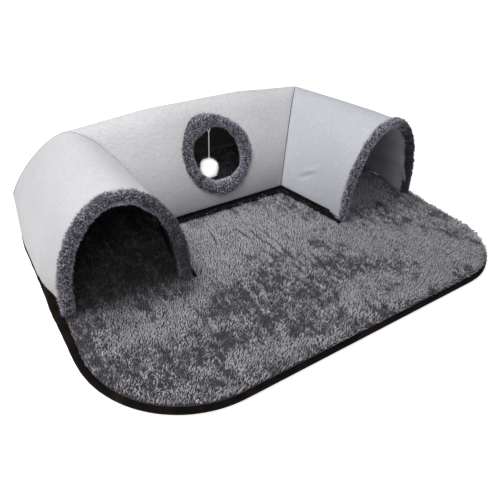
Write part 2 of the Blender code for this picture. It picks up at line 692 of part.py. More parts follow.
def hanging_toy(roll_middle, tunnel):
    """A cord loop sewn to the window's rim, and a string with an eye round the loop and a ball below."""
    side = Vector((0.0, 1.0, 0.0))
    across = Vector((1.0, 0.0, 0.0))
    up = Vector((0.0, 0.0, 1.0))
    reach = LOOP_FORWARD - LOOP_CORD_RADIUS
    loop_top = roll_middle.z - math.sqrt(WINDOW_ROLL_RADIUS ** 2 - reach ** 2) - GAP
    pivot = Vector((WINDOW_OFFSET, roll_middle.y - LOOP_FORWARD, loop_top - LOOP_DROP))
    middle = pivot + up * LOOP_HALF_WIDTH
    bend = [math.pi * i / TOY_STEPS for i in range(TOY_STEPS + 1)]
    path = [(middle + (across * math.cos(a) - up * math.sin(a)) * LOOP_HALF_WIDTH,
             across * math.cos(a) - up * math.sin(a)) for a in bend]
    rise = up * (loop_top - middle.z)
    path = [(path[0][0] + rise, across), *path, (path[-1][0] + rise, -across)]
    rings = [round_section(centre, outwards, side, LOOP_CORD_RADIUS, CORD_SIDES) for centre, outwards in path]
    corners, faces = loft(rings)
    solid("toy_hanging_loop", corners, faces, "string", tunnel)
    eye_frame = empty("toy_eye_frame", pivot)
    eye_middle = pivot + up * (LOOP_CORD_RADIUS + GAP + EYE_CORD_RADIUS - EYE_RADIUS)
    rings = []
    for i in range(TOY_STEPS):
        turn = math.tau * i / TOY_STEPS
        outwards = up * math.cos(turn) + side * math.sin(turn)
        rings.append(round_section(eye_middle + outwards * EYE_RADIUS, outwards, across, EYE_CORD_RADIUS,
                                   CORD_SIDES))
    corners, faces = loft(rings, closed_path=True)
    solid("toy_string_eye", corners, faces, "string", eye_frame)
    knot = eye_middle - up * EYE_RADIUS
    toy_frame = empty("toy_frame", knot)
    ball_middle = pivot - up * TOY_DROP
    top = knot - up * (EYE_CORD_RADIUS + GAP)
    end = ball_middle + up * (BALL_RADIUS + GAP)
    toy_string(top, end, toy_frame)
    toy_ball(ball_middle, toy_frame)


def toy_string(top, end, frame):
    """The string hangs straight from its eye to the ball."""
    line = bpy.data.curves.new("toy_string", "CURVE")
    line.dimensions = "3D"
    line.bevel_depth = STRING_RADIUS
    line.bevel_resolution = 2
    line.use_fill_caps = True
    path = line.splines.new("POLY")
    path.points.add(TOY_STEPS - 1)
    for i, point in enumerate(path.points):
        point.co = (*(top.lerp(end, i / (TOY_STEPS - 1)) - frame.location), 1.0)
    line.materials.append(material("string"))
    made = bpy.data.objects.new("toy_string", line)
    bpy.context.scene.collection.objects.link(made)
    made.parent = frame


def toy_ball(middle, frame):
    shape = bmesh.new()
    place = Matrix.Translation(middle - frame.location)
    bmesh.ops.create_icosphere(shape, subdivisions=3, radius=BALL_RADIUS, matrix=place)
    mesh = bpy.data.meshes.new("toy_ball")
    shape.to_mesh(mesh)
    shape.free()
    mesh.materials.append(material("ball"))
    mesh.shade_smooth()
    made = bpy.data.objects.new("toy_ball", mesh)
    bpy.context.scene.collection.objects.link(made)
    made.parent = frame


def tunnel_walls(tunnel):
    """Three sections of wall, each a cover, a foam core and a lining. Returns the back's layers."""
    sections = {"left": arm_stations(False), "back": back_stations(), "right": arm_stations(True)}
    back = []
    for side, stations in sections.items():
        layers = [wall_layer(side + "_cover", stations, 0.0, COVER_THICKNESS, "suede", tunnel, hem=True),
                  wall_layer(side + "_foam", stations, FOAM_OUT, FOAM_IN, "foam", tunnel),
                  wall_layer(side + "_lining", stations, LINING_OUT, WALL, "lining", tunnel)]
        if side == "back":
            back = layers
    return back


def build():
    clear_scene()
    mat = empty("mat_frame", (0, 0, 0))
    tunnel = empty("tunnel_frame", (0, 0, MAT_TOP))
    mat_layers(mat)
    back = tunnel_walls(tunnel)
    roll_middle = window_parts(back, tunnel)
    mouth_rim("left_mouth_rim", False, tunnel)
    mouth_rim("right_mouth_rim", True, tunnel)
    zip_tapes(mat, tunnel)
    zip_slider()
    hanging_toy(roll_middle, tunnel)
    bpy.context.view_layer.update()


build()
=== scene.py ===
# %% [markdown]
# # A padded cat tunnel on its plush mat
#
# The object is sewn: suede-like covers over foam walls, plush rolls over the raw edges, and a
# plush mat that closes the tunnel from below with a zip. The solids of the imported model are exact
# but bare. This lesson dresses them. It starts by loading them as a fixed frame, and every piece
# made here takes its place from that frame, so nothing has to be fitted by eye.

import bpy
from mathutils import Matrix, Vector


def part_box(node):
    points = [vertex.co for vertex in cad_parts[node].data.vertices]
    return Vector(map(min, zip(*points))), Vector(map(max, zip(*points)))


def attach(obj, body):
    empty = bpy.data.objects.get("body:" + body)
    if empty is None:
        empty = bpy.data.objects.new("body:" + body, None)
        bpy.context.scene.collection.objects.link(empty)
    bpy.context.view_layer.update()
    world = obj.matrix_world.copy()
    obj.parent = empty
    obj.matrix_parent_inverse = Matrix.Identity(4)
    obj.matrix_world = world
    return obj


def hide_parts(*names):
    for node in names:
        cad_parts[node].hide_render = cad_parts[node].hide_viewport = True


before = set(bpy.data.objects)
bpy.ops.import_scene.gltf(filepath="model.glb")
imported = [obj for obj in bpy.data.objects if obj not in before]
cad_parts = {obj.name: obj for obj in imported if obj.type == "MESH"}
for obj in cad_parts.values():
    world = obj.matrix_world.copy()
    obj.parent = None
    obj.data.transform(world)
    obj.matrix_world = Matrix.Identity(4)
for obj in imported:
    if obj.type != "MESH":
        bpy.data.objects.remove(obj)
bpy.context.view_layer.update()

# %% Other modules
import math

import bmesh
import bpy
import numpy as np
from mathutils import Matrix, Vector

# %% [markdown]
# ## Shader maths that reads like maths
#
# A material is a graph of nodes. Linking dozens of them by hand hides the idea, so one small class
# wraps an output socket and gives it the usual operators. Adding two such values adds a Math node.
# Colours don't go through it: they are mixed with a Mix node, because a Math node would turn them
# grey.

# %% A value on a socket
class Value:
    """A number that varies over a surface."""

    def __init__(self, finish, socket):
        self.finish = finish
        self.socket = socket

    def math(self, operation, first, second):
        return self.finish.node("ShaderNodeMath", {"operation": operation}, {0: first, 1: second})

    def __add__(self, other):
        return self.math("ADD", self, other)

    def __sub__(self, other):
        return self.math("SUBTRACT", self, other)

    def __mul__(self, other):
        return self.math("MULTIPLY", self, other)

    def __rsub__(self, other):
        return self.math("SUBTRACT", other, self)

    __radd__ = __add__
    __rmul__ = __mul__

# %% A finish and its nodes
class Finish:
    """One material with a Principled shader, built node by node."""

    def __init__(self, name, **uniform):
        self.material = bpy.data.materials.new(name)
        self.material.use_nodes = True
        self.tree = self.material.node_tree
        self.shader = self.tree.nodes["Principled BSDF"]
        sockets = {socket.name.lower().replace(" ", "_"): socket for socket in self.shader.inputs}
        for key, value in uniform.items():
            self.plug(sockets[key], value)
        self.place = self.node("ShaderNodeTexCoord", output="Object")

    def node(self, kind, settings=(), sockets=(), output=0):
        """Adds a node of that kind: its settings first, then the values or links of its sockets."""
        made = self.tree.nodes.new(kind)
        for key, setting in dict(settings).items():
            setattr(made, key, setting)
        for key, value in dict(sockets).items():
            self.plug(made.inputs[key], value)
        return Value(self, made.outputs[output])

    def plug(self, socket, value):
        if isinstance(value, Value):
            self.tree.links.new(value.socket, socket)
        elif isinstance(value, tuple) and socket.type == "RGBA":
            socket.default_value = (*value, 1.0)
        else:
            socket.default_value = value

    def grain(self, scale, detail=3.0, place=None):
        """Cloudy noise, from 0 to 1, with features of 1 / scale metres."""
        return self.node("ShaderNodeTexNoise", {}, {"Vector": place or self.place, "Scale": scale,
                                                   "Detail": detail}, "Fac")

    def wave(self, direction, scale, distortion=0.0):
        """Even bands across one direction, for threads and ribs."""
        return self.node("ShaderNodeTexWave", {"bands_direction": direction},
                         {"Vector": self.place, "Scale": scale, "Distortion": distortion}, "Fac")

    def pores(self, scale):
        """Distance to the nearest of many scattered points, for pores and pressed dots."""
        return self.node("ShaderNodeTexVoronoi", {}, {"Vector": self.place, "Scale": scale}, "Distance")

    def stretched(self, factors, turn=0.0):
        """The place on the piece, turned about Z and stretched, for grain that runs one way."""
        return self.node("ShaderNodeMapping", {}, {"Vector": self.place, "Rotation": (0.0, 0.0, turn),
                                                  "Scale": factors})

    def window(self, value, low, high):
        """0 below low and 1 above high, with a smooth step between."""
        return self.node("ShaderNodeMapRange", {"interpolation_type": "SMOOTHSTEP"},
                         {"Value": value, "From Min": low, "From Max": high})

    def blend(self, share, first, second):
        """A colour between two colours."""
        return self.node("ShaderNodeMix", {"data_type": "RGBA"}, {0: share, 6: first, 7: second}, output=2)

    def along(self, axis):
        """One coordinate of the place: 0 for X, 1 for Y, 2 for the height."""
        return self.node("ShaderNodeSeparateXYZ", {}, {"Vector": self.place}, output=axis)

    def attribute(self, name):
        return self.node("ShaderNodeAttribute", {"attribute_name": name}, output="Fac")

    def finish(self, colour=None, roughness=None, height=None, distance=0.001, strength=1.0):
        """Plugs what varies into the shader and returns the material."""
        if colour is not None:
            self.plug(self.shader.inputs["Base Color"], colour)
        if roughness is not None:
            self.plug(self.shader.inputs["Roughness"], roughness)
        if height is not None:
            bump = self.node("ShaderNodeBump", {}, {"Height": height, "Distance": distance,
                                                   "Strength": strength})
            self.plug(self.shader.inputs["Normal"], bump)
        return self.material

# %% [markdown]
# ## Noise for the shapes
#
# Foam under cloth is never quite even, and plush lies in clumps. The shapes below therefore use a
# lattice noise of their own. It is worked out for whole arrays of points at once, and its
# seed is fixed, so that each run gives the same tunnel.

# %% Lattice noise
LATTICE_PRIMES = np.array([73856093, 19349663, 83492791])
SEED_PRIME = 668265263


def soft_noise(points, seed):
    """Smooth random values from -1 to 1 for an array of points, with features one unit across."""
    cells = np.floor(points).astype(np.int64)
    inside = points - cells
    inside = inside * inside * (3 - 2 * inside)
    total = np.zeros(points.shape[:-1])
    for corner in np.ndindex(2, 2, 2):
        spot = (cells + np.array(corner)) * LATTICE_PRIMES
        mixed = spot[..., 0] ^ spot[..., 1] ^ spot[..., 2] ^ seed * SEED_PRIME
        mixed = (mixed ^ (mixed >> 13)) * 1274126177 & 0xFFFFFFFF
        mixed = (mixed ^ (mixed >> 15)) & 0xFFFF
        weight = np.where(np.array(corner) == 1, inside, 1 - inside).prod(axis=-1)
        total += weight * (mixed / 32767.5 - 1)
    return total


def unit(vectors):
    return vectors / np.maximum(np.linalg.norm(vectors, axis=-1, keepdims=True), 1e-12)


def smooth_step(value, low, high):
    share = np.clip((value - low) / (high - low), 0, 1)
    return share * share * (3 - 2 * share)


print("noise at two places:", soft_noise(np.array([[0.2, 0.5, 0.7], [3.1, 2.2, 0.1]]), 1))

# %% [markdown]
# ## Turning grids of points into pieces
#
# Almost every piece here is a grid: a wall is a grid of points along and round the tunnel, a roll
# is a grid along and round its core. One helper turns a grid into faces, and another puts the
# mesh in the scene, gives it its finish, ties it to its body and hides the solid it stands for.

# %% Grids and pieces
def placed(name, data):
    """A new object in the scene."""
    made = bpy.data.objects.new(name, data)
    bpy.context.scene.collection.objects.link(made)
    return made


def grid_faces(rows, columns, wrap_rows=False, wrap_columns=False):
    """Faces of a grid of points, as an array of four indices each."""
    i = np.arange(rows if wrap_rows else rows - 1)
    j = np.arange(columns if wrap_columns else columns - 1)
    i, j = np.meshgrid(i, j, indexing="ij")
    up, along = (i + 1) % rows, (j + 1) % columns
    return np.stack([i * columns + j, i * columns + along, up * columns + along, up * columns + j],
                    axis=-1).reshape(-1, 4)


def enclosed_volume(mesh):
    """Volume inside a closed mesh, below zero if its faces point inwards."""
    mesh.calc_loop_triangles()
    corners = np.zeros(len(mesh.vertices) * 3)
    mesh.vertices.foreach_get("co", corners)
    triangles = np.zeros(len(mesh.loop_triangles) * 3, np.int32)
    mesh.loop_triangles.foreach_get("vertices", triangles)
    a, b, c = corners.reshape(-1, 3)[triangles.reshape(-1, 3)].transpose(1, 0, 2)
    return float((a * np.cross(b, c)).sum() / 6)


def filled_mesh(name, points, faces):
    """A mesh from points and faces. Faces of one size, as an array, are filled in at once."""
    mesh = bpy.data.meshes.new(name)
    points = np.asarray(points, np.float32).reshape(-1, 3)
    if not isinstance(faces, np.ndarray):
        mesh.from_pydata(points.tolist(), [], faces)
        return mesh
    mesh.vertices.add(len(points))
    mesh.vertices.foreach_set("co", points.ravel())
    mesh.loops.add(faces.size)
    mesh.loops.foreach_set("vertex_index", faces.astype(np.int32).ravel())
    mesh.polygons.add(len(faces))
    mesh.polygons.foreach_set("loop_start", np.arange(0, faces.size, faces.shape[1], dtype=np.int32))
    mesh.update(calc_edges=True)
    return mesh


def piece(name, points, faces, finish, body, replaces=()):
    """Adds one mesh to the scene, riding on its body."""
    mesh = filled_mesh(name, points, faces)
    mesh.materials.append(finish)
    mesh.validate()
    if enclosed_volume(mesh) < 0:
        mesh.flip_normals()
    mesh.shade_smooth()
    made = placed(name, mesh)
    if replaces:
        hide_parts(*replaces)
    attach(made, body)
    print(name, "has", len(mesh.polygons), "faces")
    return made


def grid_normals(grid):
    along = np.gradient(grid, axis=0)
    across = np.gradient(grid, axis=1)
    return unit(np.cross(along, across))

# %% [markdown]
# ## The shape of the wall
#
# The tunnel is one arch carried along a U-shaped line. At the mouths the arch is a plain ellipse
# on short upright feet. Along the back its sides lean in, and at the two mitred corners it is a
# little lower. The sizes below are those of the solid walls, and the places come from the frame.

# %% Sizes of the arch
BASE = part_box("left_foam")[0].z
MAT_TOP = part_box("mat_plush_top")[1].z
CENTRE_Y = (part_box("back_cover")[0].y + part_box("back_cover")[1].y) / 2
CORNER_X = 0.300
MOUTH_X = 0.3255
ARM_RUN = 0.326
WALL = 0.0113
COVER = 0.0015
LINING = 0.0012
MOUTH_SHAPE = np.array([0.121, 0.121, 0.204, 0.017, 0.0, 0.0])
BACK_SHAPE = np.array([0.143, 0.143, 0.2065, 0.011, 0.36, 0.46])
CORNER_SHAPE = BACK_SHAPE * np.array([1.0, 1.0, 0.915, 1.0, 1.0, 1.0])
OUTSIDE_SPREAD = 0.018
ARM_MIDDLE = 0.200
COLLAR = 0.020
STRAIGHT = 0.125
HEM_DROP = 0.019
HEM_START = 0.090
HEM_FULL = 0.120
MOUTH = np.array([-MOUTH_X, CENTRE_Y - ARM_RUN])
CORNER = np.array([-CORNER_X, CENTRE_Y])
ARM_LENGTH = float(np.linalg.norm(CORNER - MOUTH))
ARM_AXIS = (CORNER - MOUTH) / ARM_LENGTH
ARM_ACROSS = np.array([ARM_AXIS[1], -ARM_AXIS[0]])
BACK_ACROSS = np.array([0.0, -1.0])
MITRE_ACROSS = (ARM_ACROSS + BACK_ACROSS) / (1 + ARM_ACROSS @ BACK_ACROSS)
print("arm length", round(ARM_LENGTH, 4), "centre line of the back at y =", round(CENTRE_Y, 4))

# %% Points on the wall
def between(first, second, share):
    return first + (second - first) * share[..., None]


def stations(section, along):
    """Plan origin, way across, arch values and hem of each cross-section along one section."""
    if section == "back":
        share = np.clip((np.abs(along) - STRAIGHT) / (CORNER_X - STRAIGHT), 0, 1)
        origin = np.stack([along, np.full_like(along, CENTRE_Y)], axis=-1)
        across = between(BACK_ACROSS, MITRE_ACROSS, share)
        across = across * np.stack([-np.sign(along), np.ones_like(along)], axis=-1)
        return origin, across, between(BACK_SHAPE, CORNER_SHAPE, share), np.full_like(along, HEM_DROP)
    share = np.clip((along - COLLAR) / (ARM_LENGTH - COLLAR), 0, 1)
    origin = MOUTH + ARM_AXIS * along[:, None]
    across = between(ARM_ACROSS, MITRE_ACROSS, share)
    hem = HEM_DROP * smooth_step(along, HEM_START, HEM_FULL)
    arch = between(MOUTH_SHAPE, CORNER_SHAPE, share)
    fade = (ARM_LENGTH - along) / (ARM_LENGTH - ARM_MIDDLE)
    arch[:, 1] += OUTSIDE_SPREAD * smooth_step(along, COLLAR, HEM_START) * fade.clip(0, 1)
    if section == "right":
        origin, across = origin * [-1, 1], across * [-1, 1]
    return origin, across, arch, hem


def at_height(plan, height=0.0):
    """Places on the plan as points, all at one height or each at its own."""
    return np.concatenate([plan, np.broadcast_to(height, plan.shape[:-1])[..., None]], axis=-1)


def wall_grid(section, along, turns, hem=False):
    """A grid of points on the cover. Turns below 0 and above pi run down the feet to the mat."""
    origin, across, arch, drop = stations(section, along)
    inside, outside, rise, foot, inside_lean, outside_lean = arch.T[..., None]
    angle = np.clip(turns, 0, np.pi)[None, :]
    half = np.where(angle < np.pi / 2, inside, outside)
    lean = np.where(angle < np.pi / 2, inside_lean, outside_lean)
    reach = half * np.cos(angle) * (1 - lean * np.sin(angle))
    down = np.maximum(-turns, turns - np.pi).clip(0)[None, :]
    height = foot + rise * np.sin(angle) - foot * down.clip(0, 1)
    if hem:
        height = height - np.where(turns > np.pi, (down - 1).clip(0), 0) * drop[:, None]
    plan = origin[:, None, :] + across[:, None, :] * reach[..., None]
    return at_height(plan, BASE + height)


def turn_steps(count, feet=4, hem=0):
    """Turns round the arch, evenly spaced, with steps down each foot and down the outside hem."""
    down = np.linspace(1, 0, feet, endpoint=False)
    below = np.linspace(0, 1, hem + 1)[1:] + 1
    return np.concatenate([-down, np.linspace(0, np.pi, count), np.pi + down[::-1], np.pi + below])


def outwards(section, grid):
    """Normals that point out of the wall."""
    normals = grid_normals(grid)
    flip = 1 if normals[len(grid) // 2, grid.shape[1] // 2, 2] > 0 else -1
    return normals * flip


test = wall_grid("left", np.array([0.0, ARM_LENGTH]), turn_steps(9))
print("crown at the mouth and at the corner:", test[:, :, 2].max(axis=1).round(4))

# %% [markdown]
# ## The camera and the studio
#
# The picture is taken from the front left, looking down, with a normal lens held slightly off
# level. The floor is white paper. Its colour is lifted a little for camera rays alone, so that it
# reads as white and still shows the shadow of the mat.

# %% Camera
CAMERA_PLACE = Vector((-0.5482, -0.8073, 0.6901))
CAMERA_YAW = math.radians(34.53)
CAMERA_PITCH = math.radians(36.92)
CAMERA_ROLL = math.radians(2.46)
FOCAL_PIXELS = 505.6
PICTURE_WIDTH = 500
FILM_WIDTH = 36.0

ahead = Vector((math.sin(CAMERA_YAW), math.cos(CAMERA_YAW), 0.0))
looking = ahead * math.cos(CAMERA_PITCH) + Vector((0.0, 0.0, -math.sin(CAMERA_PITCH)))
level = Vector((math.cos(CAMERA_YAW), -math.sin(CAMERA_YAW), 0.0))
upright = level.cross(looking)
right_side = level * math.cos(CAMERA_ROLL) + upright * math.sin(CAMERA_ROLL)
top_side = upright * math.cos(CAMERA_ROLL) - level * math.sin(CAMERA_ROLL)
lens = bpy.data.cameras.new("studio_camera")
lens.lens = FILM_WIDTH * FOCAL_PIXELS / PICTURE_WIDTH
lens.sensor_width = FILM_WIDTH
camera = placed("studio_camera", lens)
camera.matrix_world = (Matrix.Translation(CAMERA_PLACE)
                       @ Matrix((right_side, top_side, -looking)).transposed().to_4x4())
bpy.context.scene.camera = camera
bpy.context.scene.view_settings.view_transform = "Standard"
print("lens", round(lens.lens, 2), "mm")

# %% Lights
SKY_LIGHT = 0.32
SKY_SEEN = 1.0
WHITE = (1.0, 1.0, 1.0)


def soft_box(name, place, target, size, power, colour):
    light = bpy.data.lights.new(name, "AREA")
    light.shape = "DISK"
    light.size = size
    light.energy = power
    light.color = colour
    made = placed(name, light)
    made.location = place
    made.rotation_euler = (Vector(target) - Vector(place)).to_track_quat("-Z", "Y").to_euler()


def studio_world():
    """A white room. It lights the tunnel less than it shows behind it."""
    world = bpy.data.worlds.new("studio")
    world.use_nodes = True
    nodes, link = world.node_tree.nodes, world.node_tree.links.new
    dim, white = nodes["Background"], nodes.new("ShaderNodeBackground")
    for background, strength in ((dim, SKY_LIGHT), (white, SKY_SEEN)):
        background.inputs["Color"].default_value = (*WHITE, 1.0)
        background.inputs["Strength"].default_value = strength
    seen = nodes.new("ShaderNodeMixShader")
    link(nodes.new("ShaderNodeLightPath").outputs["Is Camera Ray"], seen.inputs["Fac"])
    link(dim.outputs["Background"], seen.inputs[1])
    link(white.outputs["Background"], seen.inputs[2])
    link(seen.outputs["Shader"], nodes["World Output"].inputs["Surface"])
    return world


soft_box("top_light", place=(-0.95, 0.15, 2.15), target=(0.0, 0.1, 0.1), size=1.2, power=35,
         colour=(1.0, 0.995, 0.985))
soft_box("front_light", place=(-1.05, -1.65, 1.7), target=(0.0, 0.0, 0.1), size=1.0, power=5,
         colour=(0.97, 0.98, 1.0))
bpy.context.scene.world = studio_world()
print("lights:", [light.name for light in bpy.data.lights])

# %% Floor
FLOOR_LIFT = 0.70
FLOOR_HALF = 6.0
FLOOR_HEIGHT = -0.0004


def paper_finish():
    """White paper, with some light of its own for camera rays alone."""
    paper = Finish("studio_paper", roughness=0.95)
    seen = paper.node("ShaderNodeLightPath", output="Is Camera Ray")
    fibres = paper.grain(60, 2)
    paper.finish(colour=paper.blend(fibres, (0.90, 0.90, 0.90), (0.93, 0.93, 0.93)))
    glow = paper.node("ShaderNodeEmission", {}, {"Color": WHITE, "Strength": seen * FLOOR_LIFT}, "Emission")
    both = paper.node("ShaderNodeAddShader", {}, {0: glow, 1: Value(paper, paper.shader.outputs["BSDF"])})
    paper.plug(paper.tree.nodes["Material Output"].inputs["Surface"], both)
    return paper.material


corners = [(x * FLOOR_HALF, y * FLOOR_HALF, FLOOR_HEIGHT) for x, y in ((-1, -1), (1, -1), (1, 1), (-1, 1))]
floor_mesh = filled_mesh("studio_floor", corners, [(0, 1, 2, 3)])
floor_mesh.materials.append(paper_finish())
placed("studio_floor", floor_mesh)

# %% [markdown]
# ## The suede-like covers
#
# The covers are a warp-knit suede: a close nap that reflects more light where it was stroked one
# way than the other. The colour barely changes, so the finish mixes two near greys by a cloudy
# noise, adds short strokes and a fine grain, and lets a soft sheen lift the edges. Two soft shades
# from the mat upwards can be blended over it: one makes a cover warmer and darker towards the mat,
# the other is painted shade that darkens a cover's low part.

# %% Suede
WARM_LOW_GREY = (0.56, 0.51, 0.47)
LOW_SHADE_GREY = (0.22, 0.22, 0.23)


def suede_finish(name, dark, light, warm_low_share=0.0, painted_low_shade=0.0):
    """Suede between two greys. By the first share it turns warmer and darker towards the mat, and by
    the second it is painted darker near the mat, as shade."""
    cloth = Finish(name, roughness=0.92, sheen_weight=0.25, sheen_roughness=0.5, specular_ior_level=0.25)
    patches = cloth.grain(9, 3)
    strokes = cloth.grain(70, 3, cloth.stretched((1.0, 1.0, 2.4), 0.5))
    nap = cloth.grain(300, 4, cloth.stretched((0.45, 0.6, 1.0)))
    tone = cloth.window(patches * 0.4 + strokes * 0.35 + nap * 1.0, 0.55, 1.20)
    colour = cloth.blend(tone, dark, light)
    # Warmer and darker towards the mat, by the first share.
    warm_low = cloth.window(patches * 0.05 - cloth.along(2), -0.075, 0.01)
    colour = cloth.blend(warm_low * warm_low_share, colour, WARM_LOW_GREY)
    # Painted shade: the cover's low part turns darker towards the mat.
    low = cloth.window(patches * 0.04 - cloth.along(2), -0.165, 0.01)
    colour = cloth.blend(low * painted_low_shade, colour, LOW_SHADE_GREY)
    return cloth.finish(colour=colour, roughness=nap * 0.12 + 0.84, height=nap + strokes * 0.8,
                        distance=0.0011, strength=0.6)


# The three covers are one suede. The back's greys are set lighter, as painted light on its top, and its low
# part gets the painted shade.
suede_of = {"left": suede_finish("suede_left", (0.60, 0.605, 0.64), (0.695, 0.695, 0.72), warm_low_share=0.6),
            "back": suede_finish("suede_back", (0.62, 0.62, 0.645), (0.75, 0.75, 0.77), painted_low_shade=0.62),
            "right": suede_finish("suede_right", (0.55, 0.565, 0.615), (0.645, 0.66, 0.715))}
print("suedes:", [finish.name for finish in suede_of.values()])

# %% [markdown]
# A cover is a shell: its outside is the grid of the wall with the unevenness of the foam under
# it, and its inside lies one cloth thickness below. At a mitre the edge is turned in to the seam,
# which leaves a shallow groove. The back cover has a round hole, made by leaving out the cells of
# the grid inside it and moving the points of its edge onto the circle. The plush roll hides it.

# %% Shells
def shell(name, outside, inside, finish, replaces, keep=None, body="tunnel"):
    """A closed sheet between two grids, with the cells that keep leaves out cut away."""
    rows, columns = outside.shape[:2]
    cells = grid_faces(rows, columns)
    if keep is not None:
        cells = cells[keep.reshape(-1)]
    edges = np.concatenate([cells[:, [k, (k + 1) % 4]] for k in range(4)])
    forward = {tuple(edge) for edge in edges.tolist()}
    border = [edge for edge in forward if (edge[1], edge[0]) not in forward]
    shift = rows * columns
    faces = cells.tolist() + (cells[:, ::-1] + shift).tolist()
    faces += [[b, a, a + shift, b + shift] for a, b in sorted(border)]
    used = np.unique(np.array(cells))
    renumber = np.full(2 * shift, -1)
    renumber[used] = np.arange(len(used))
    renumber[used + shift] = np.arange(len(used)) + len(used)
    points = np.concatenate([outside.reshape(-1, 3)[used], inside.reshape(-1, 3)[used]])
    faces = [[int(renumber[i]) for i in face] for face in faces]
    return piece(name, points, faces, finish, body, replaces)


def slack(grid, seed, size=0.0007):
    """Small unevenness of the foam under the cloth."""
    return soft_noise(grid * 9, seed) * size + soft_noise(grid * 34, seed + 1) * size * 0.4


def to_segment(places, start, end):
    """The share of the way from start to end that is nearest to each place, and the distance to it."""
    run = np.subtract(end, start)
    share = ((places - start) @ run / (run @ run)).clip(0, 1)
    return share, np.linalg.norm(places - start - run * share[..., None], axis=-1)


def crease(grid, start, end, width, depth):
    """A soft fold in an arm's wall, deepest in its middle. Its ends are given by y and height."""
    share, away = to_segment(grid[..., 1:], np.array(start), np.array(end))
    return -depth * np.exp(-(away / width) ** 2) * np.sin(np.pi * share.clip(0.02, 0.98))


# %% [markdown]
# The covers are cut a little larger than the foam, and the foam presses them out, so a section
# swells between its seams. A cloth simulation finds that shape: the sheet is held along its seams,
# at its feet and under the rolls, is given two percent of spare cloth, and a light pressure blows
# it out. Only the movement out of the wall is used, eased to a limit, so the cloth never cuts
# into the foam and the mesh keeps its even grid.

# %% Swelling by cloth simulation
SWELL_LIMIT = 0.0028
SMOOTHING_PASSES = 14
SWELL_FRAMES = 20
SPARE_CLOTH = 0.02
PRESSURE = 2.0
CLOTH_SETTINGS = {"quality": 5, "mass": 0.25, "tension_stiffness": 25, "compression_stiffness": 25,
                  "bending_stiffness": 1.2, "vertex_group_mass": "held", "shrink_min": -SPARE_CLOTH,
                  "use_pressure": True, "uniform_pressure_force": PRESSURE}


def held_sheet(name, points, cells, held):
    """A sheet of cloth in the scene. Its held points, and those in no cell, are pinned."""
    sheet = placed(name, filled_mesh(name, points, cells.tolist()))
    pinned = held.copy()
    pinned[np.setdiff1d(np.arange(len(held)), cells)] = True
    sheet.vertex_groups.new(name="held").add(np.flatnonzero(pinned).tolist(), 1.0, "REPLACE")
    cloth = sheet.modifiers.new("cloth", "CLOTH")
    for key, setting in CLOTH_SETTINGS.items():
        setattr(cloth.settings, key, setting)
    cloth.settings.effector_weights.gravity = 0.0
    cloth.point_cache.frame_end = SWELL_FRAMES
    return sheet


def swell(name, grid, normals, held, keep):
    """How far a held sheet moves out of the wall under a light pressure."""
    cells = grid_faces(*grid.shape[:2])
    if keep is not None:
        cells = cells[keep.reshape(-1)]
    first = grid.reshape(-1, 3)[cells[0]]
    if np.cross(first[1] - first[0], first[3] - first[0]) @ normals.reshape(-1, 3)[cells[0][0]] < 0:
        cells = cells[:, ::-1]
    sheet = held_sheet(name, grid, cells, held.reshape(-1))
    for frame_number in range(1, SWELL_FRAMES + 1):
        bpy.context.scene.frame_set(frame_number)
    swollen = sheet.evaluated_get(bpy.context.evaluated_depsgraph_get())
    moved = np.zeros(grid.size)
    swollen.data.vertices.foreach_get("co", moved)
    bpy.data.objects.remove(sheet, do_unlink=True)
    bpy.context.scene.frame_set(1)
    out = ((moved.reshape(grid.shape) - grid) * normals).sum(axis=-1).clip(0)
    out = SWELL_LIMIT * np.tanh(out / SWELL_LIMIT)
    for _ in range(SMOOTHING_PASSES):
        around = np.pad(out, 1, mode="edge")
        out = (around[:-2, 1:-1] + around[2:, 1:-1] + around[1:-1, :-2] + around[1:-1, 2:]) / 4 * ~held
    print(name, "swells by up to", round(float(out.max()) * 1000, 2), "mm")
    return out


SEAM_TURN_IN = 0.0010
SEAM_WIDTH = 0.0025
HELD_AT_SEAM = 0.004
HELD_AT_MOUTH = 0.014
HELD_INNER_FOOT = -0.3
HELD_OUTER_HEM = np.pi + 1.8
# Distances from a seam of the close steps beside it
SEAM_STEPS = np.array([0.0003, 0.0015, 0.003, 0.0045, 0.0065, 0.009])
STEP_OFF_SEAM = 0.012


def section_steps(section, spacing):
    """Steps along a section, closer together near its seams."""
    if section == "back":
        middle = np.arange(STEP_OFF_SEAM - CORNER_X, CORNER_X - STEP_OFF_SEAM + 0.0001, spacing)
        return np.concatenate([SEAM_STEPS - CORNER_X, middle, CORNER_X - SEAM_STEPS[::-1]])
    middle = np.arange(-0.002, ARM_LENGTH - STEP_OFF_SEAM, spacing)
    return np.concatenate([middle, ARM_LENGTH - SEAM_STEPS[::-1]])


def to_seam(section, along):
    """Distance from each step to the nearest mitre."""
    return CORNER_X - np.abs(along) if section == "back" else ARM_LENGTH - along

# %% The window's place on the back wall
WINDOW_X = float(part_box("window_rim")[0].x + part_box("window_rim")[1].x) / 2
WINDOW_HEIGHT = 0.119
WINDOW_HALF_WIDTH = 0.079
WINDOW_HALF_LENGTH = 0.082
WINDOW_ROLL = 0.0165
CUT_UNDER_ROLL = 0.002
# Where the window's roll is fuller or thinner: turn from +X, width of the place and share
RING_LUMPS = ((2.00, 0.42, 0.42), (0.95, 0.45, -0.14), (4.75, 0.45, 0.22), (5.60, 0.45, -0.18),
              (3.75, 0.5, 0.10))


def ring_turns(count):
    return np.arange(count) * 2 * np.pi / count


def ring_radius(count):
    """The radius of the window's roll, which was sewn on by hand and is fuller in places."""
    share = np.ones(count)
    for place, width, more in RING_LUMPS:
        off = (ring_turns(count) - place + np.pi) % (2 * np.pi) - np.pi
        share += more * np.exp(-(off / width) ** 2)
    return WINDOW_ROLL * share


def lengths_along(line):
    """The length of a line up to each of its points."""
    return np.concatenate([[0], np.cumsum(np.linalg.norm(np.diff(line, axis=0), axis=1))])


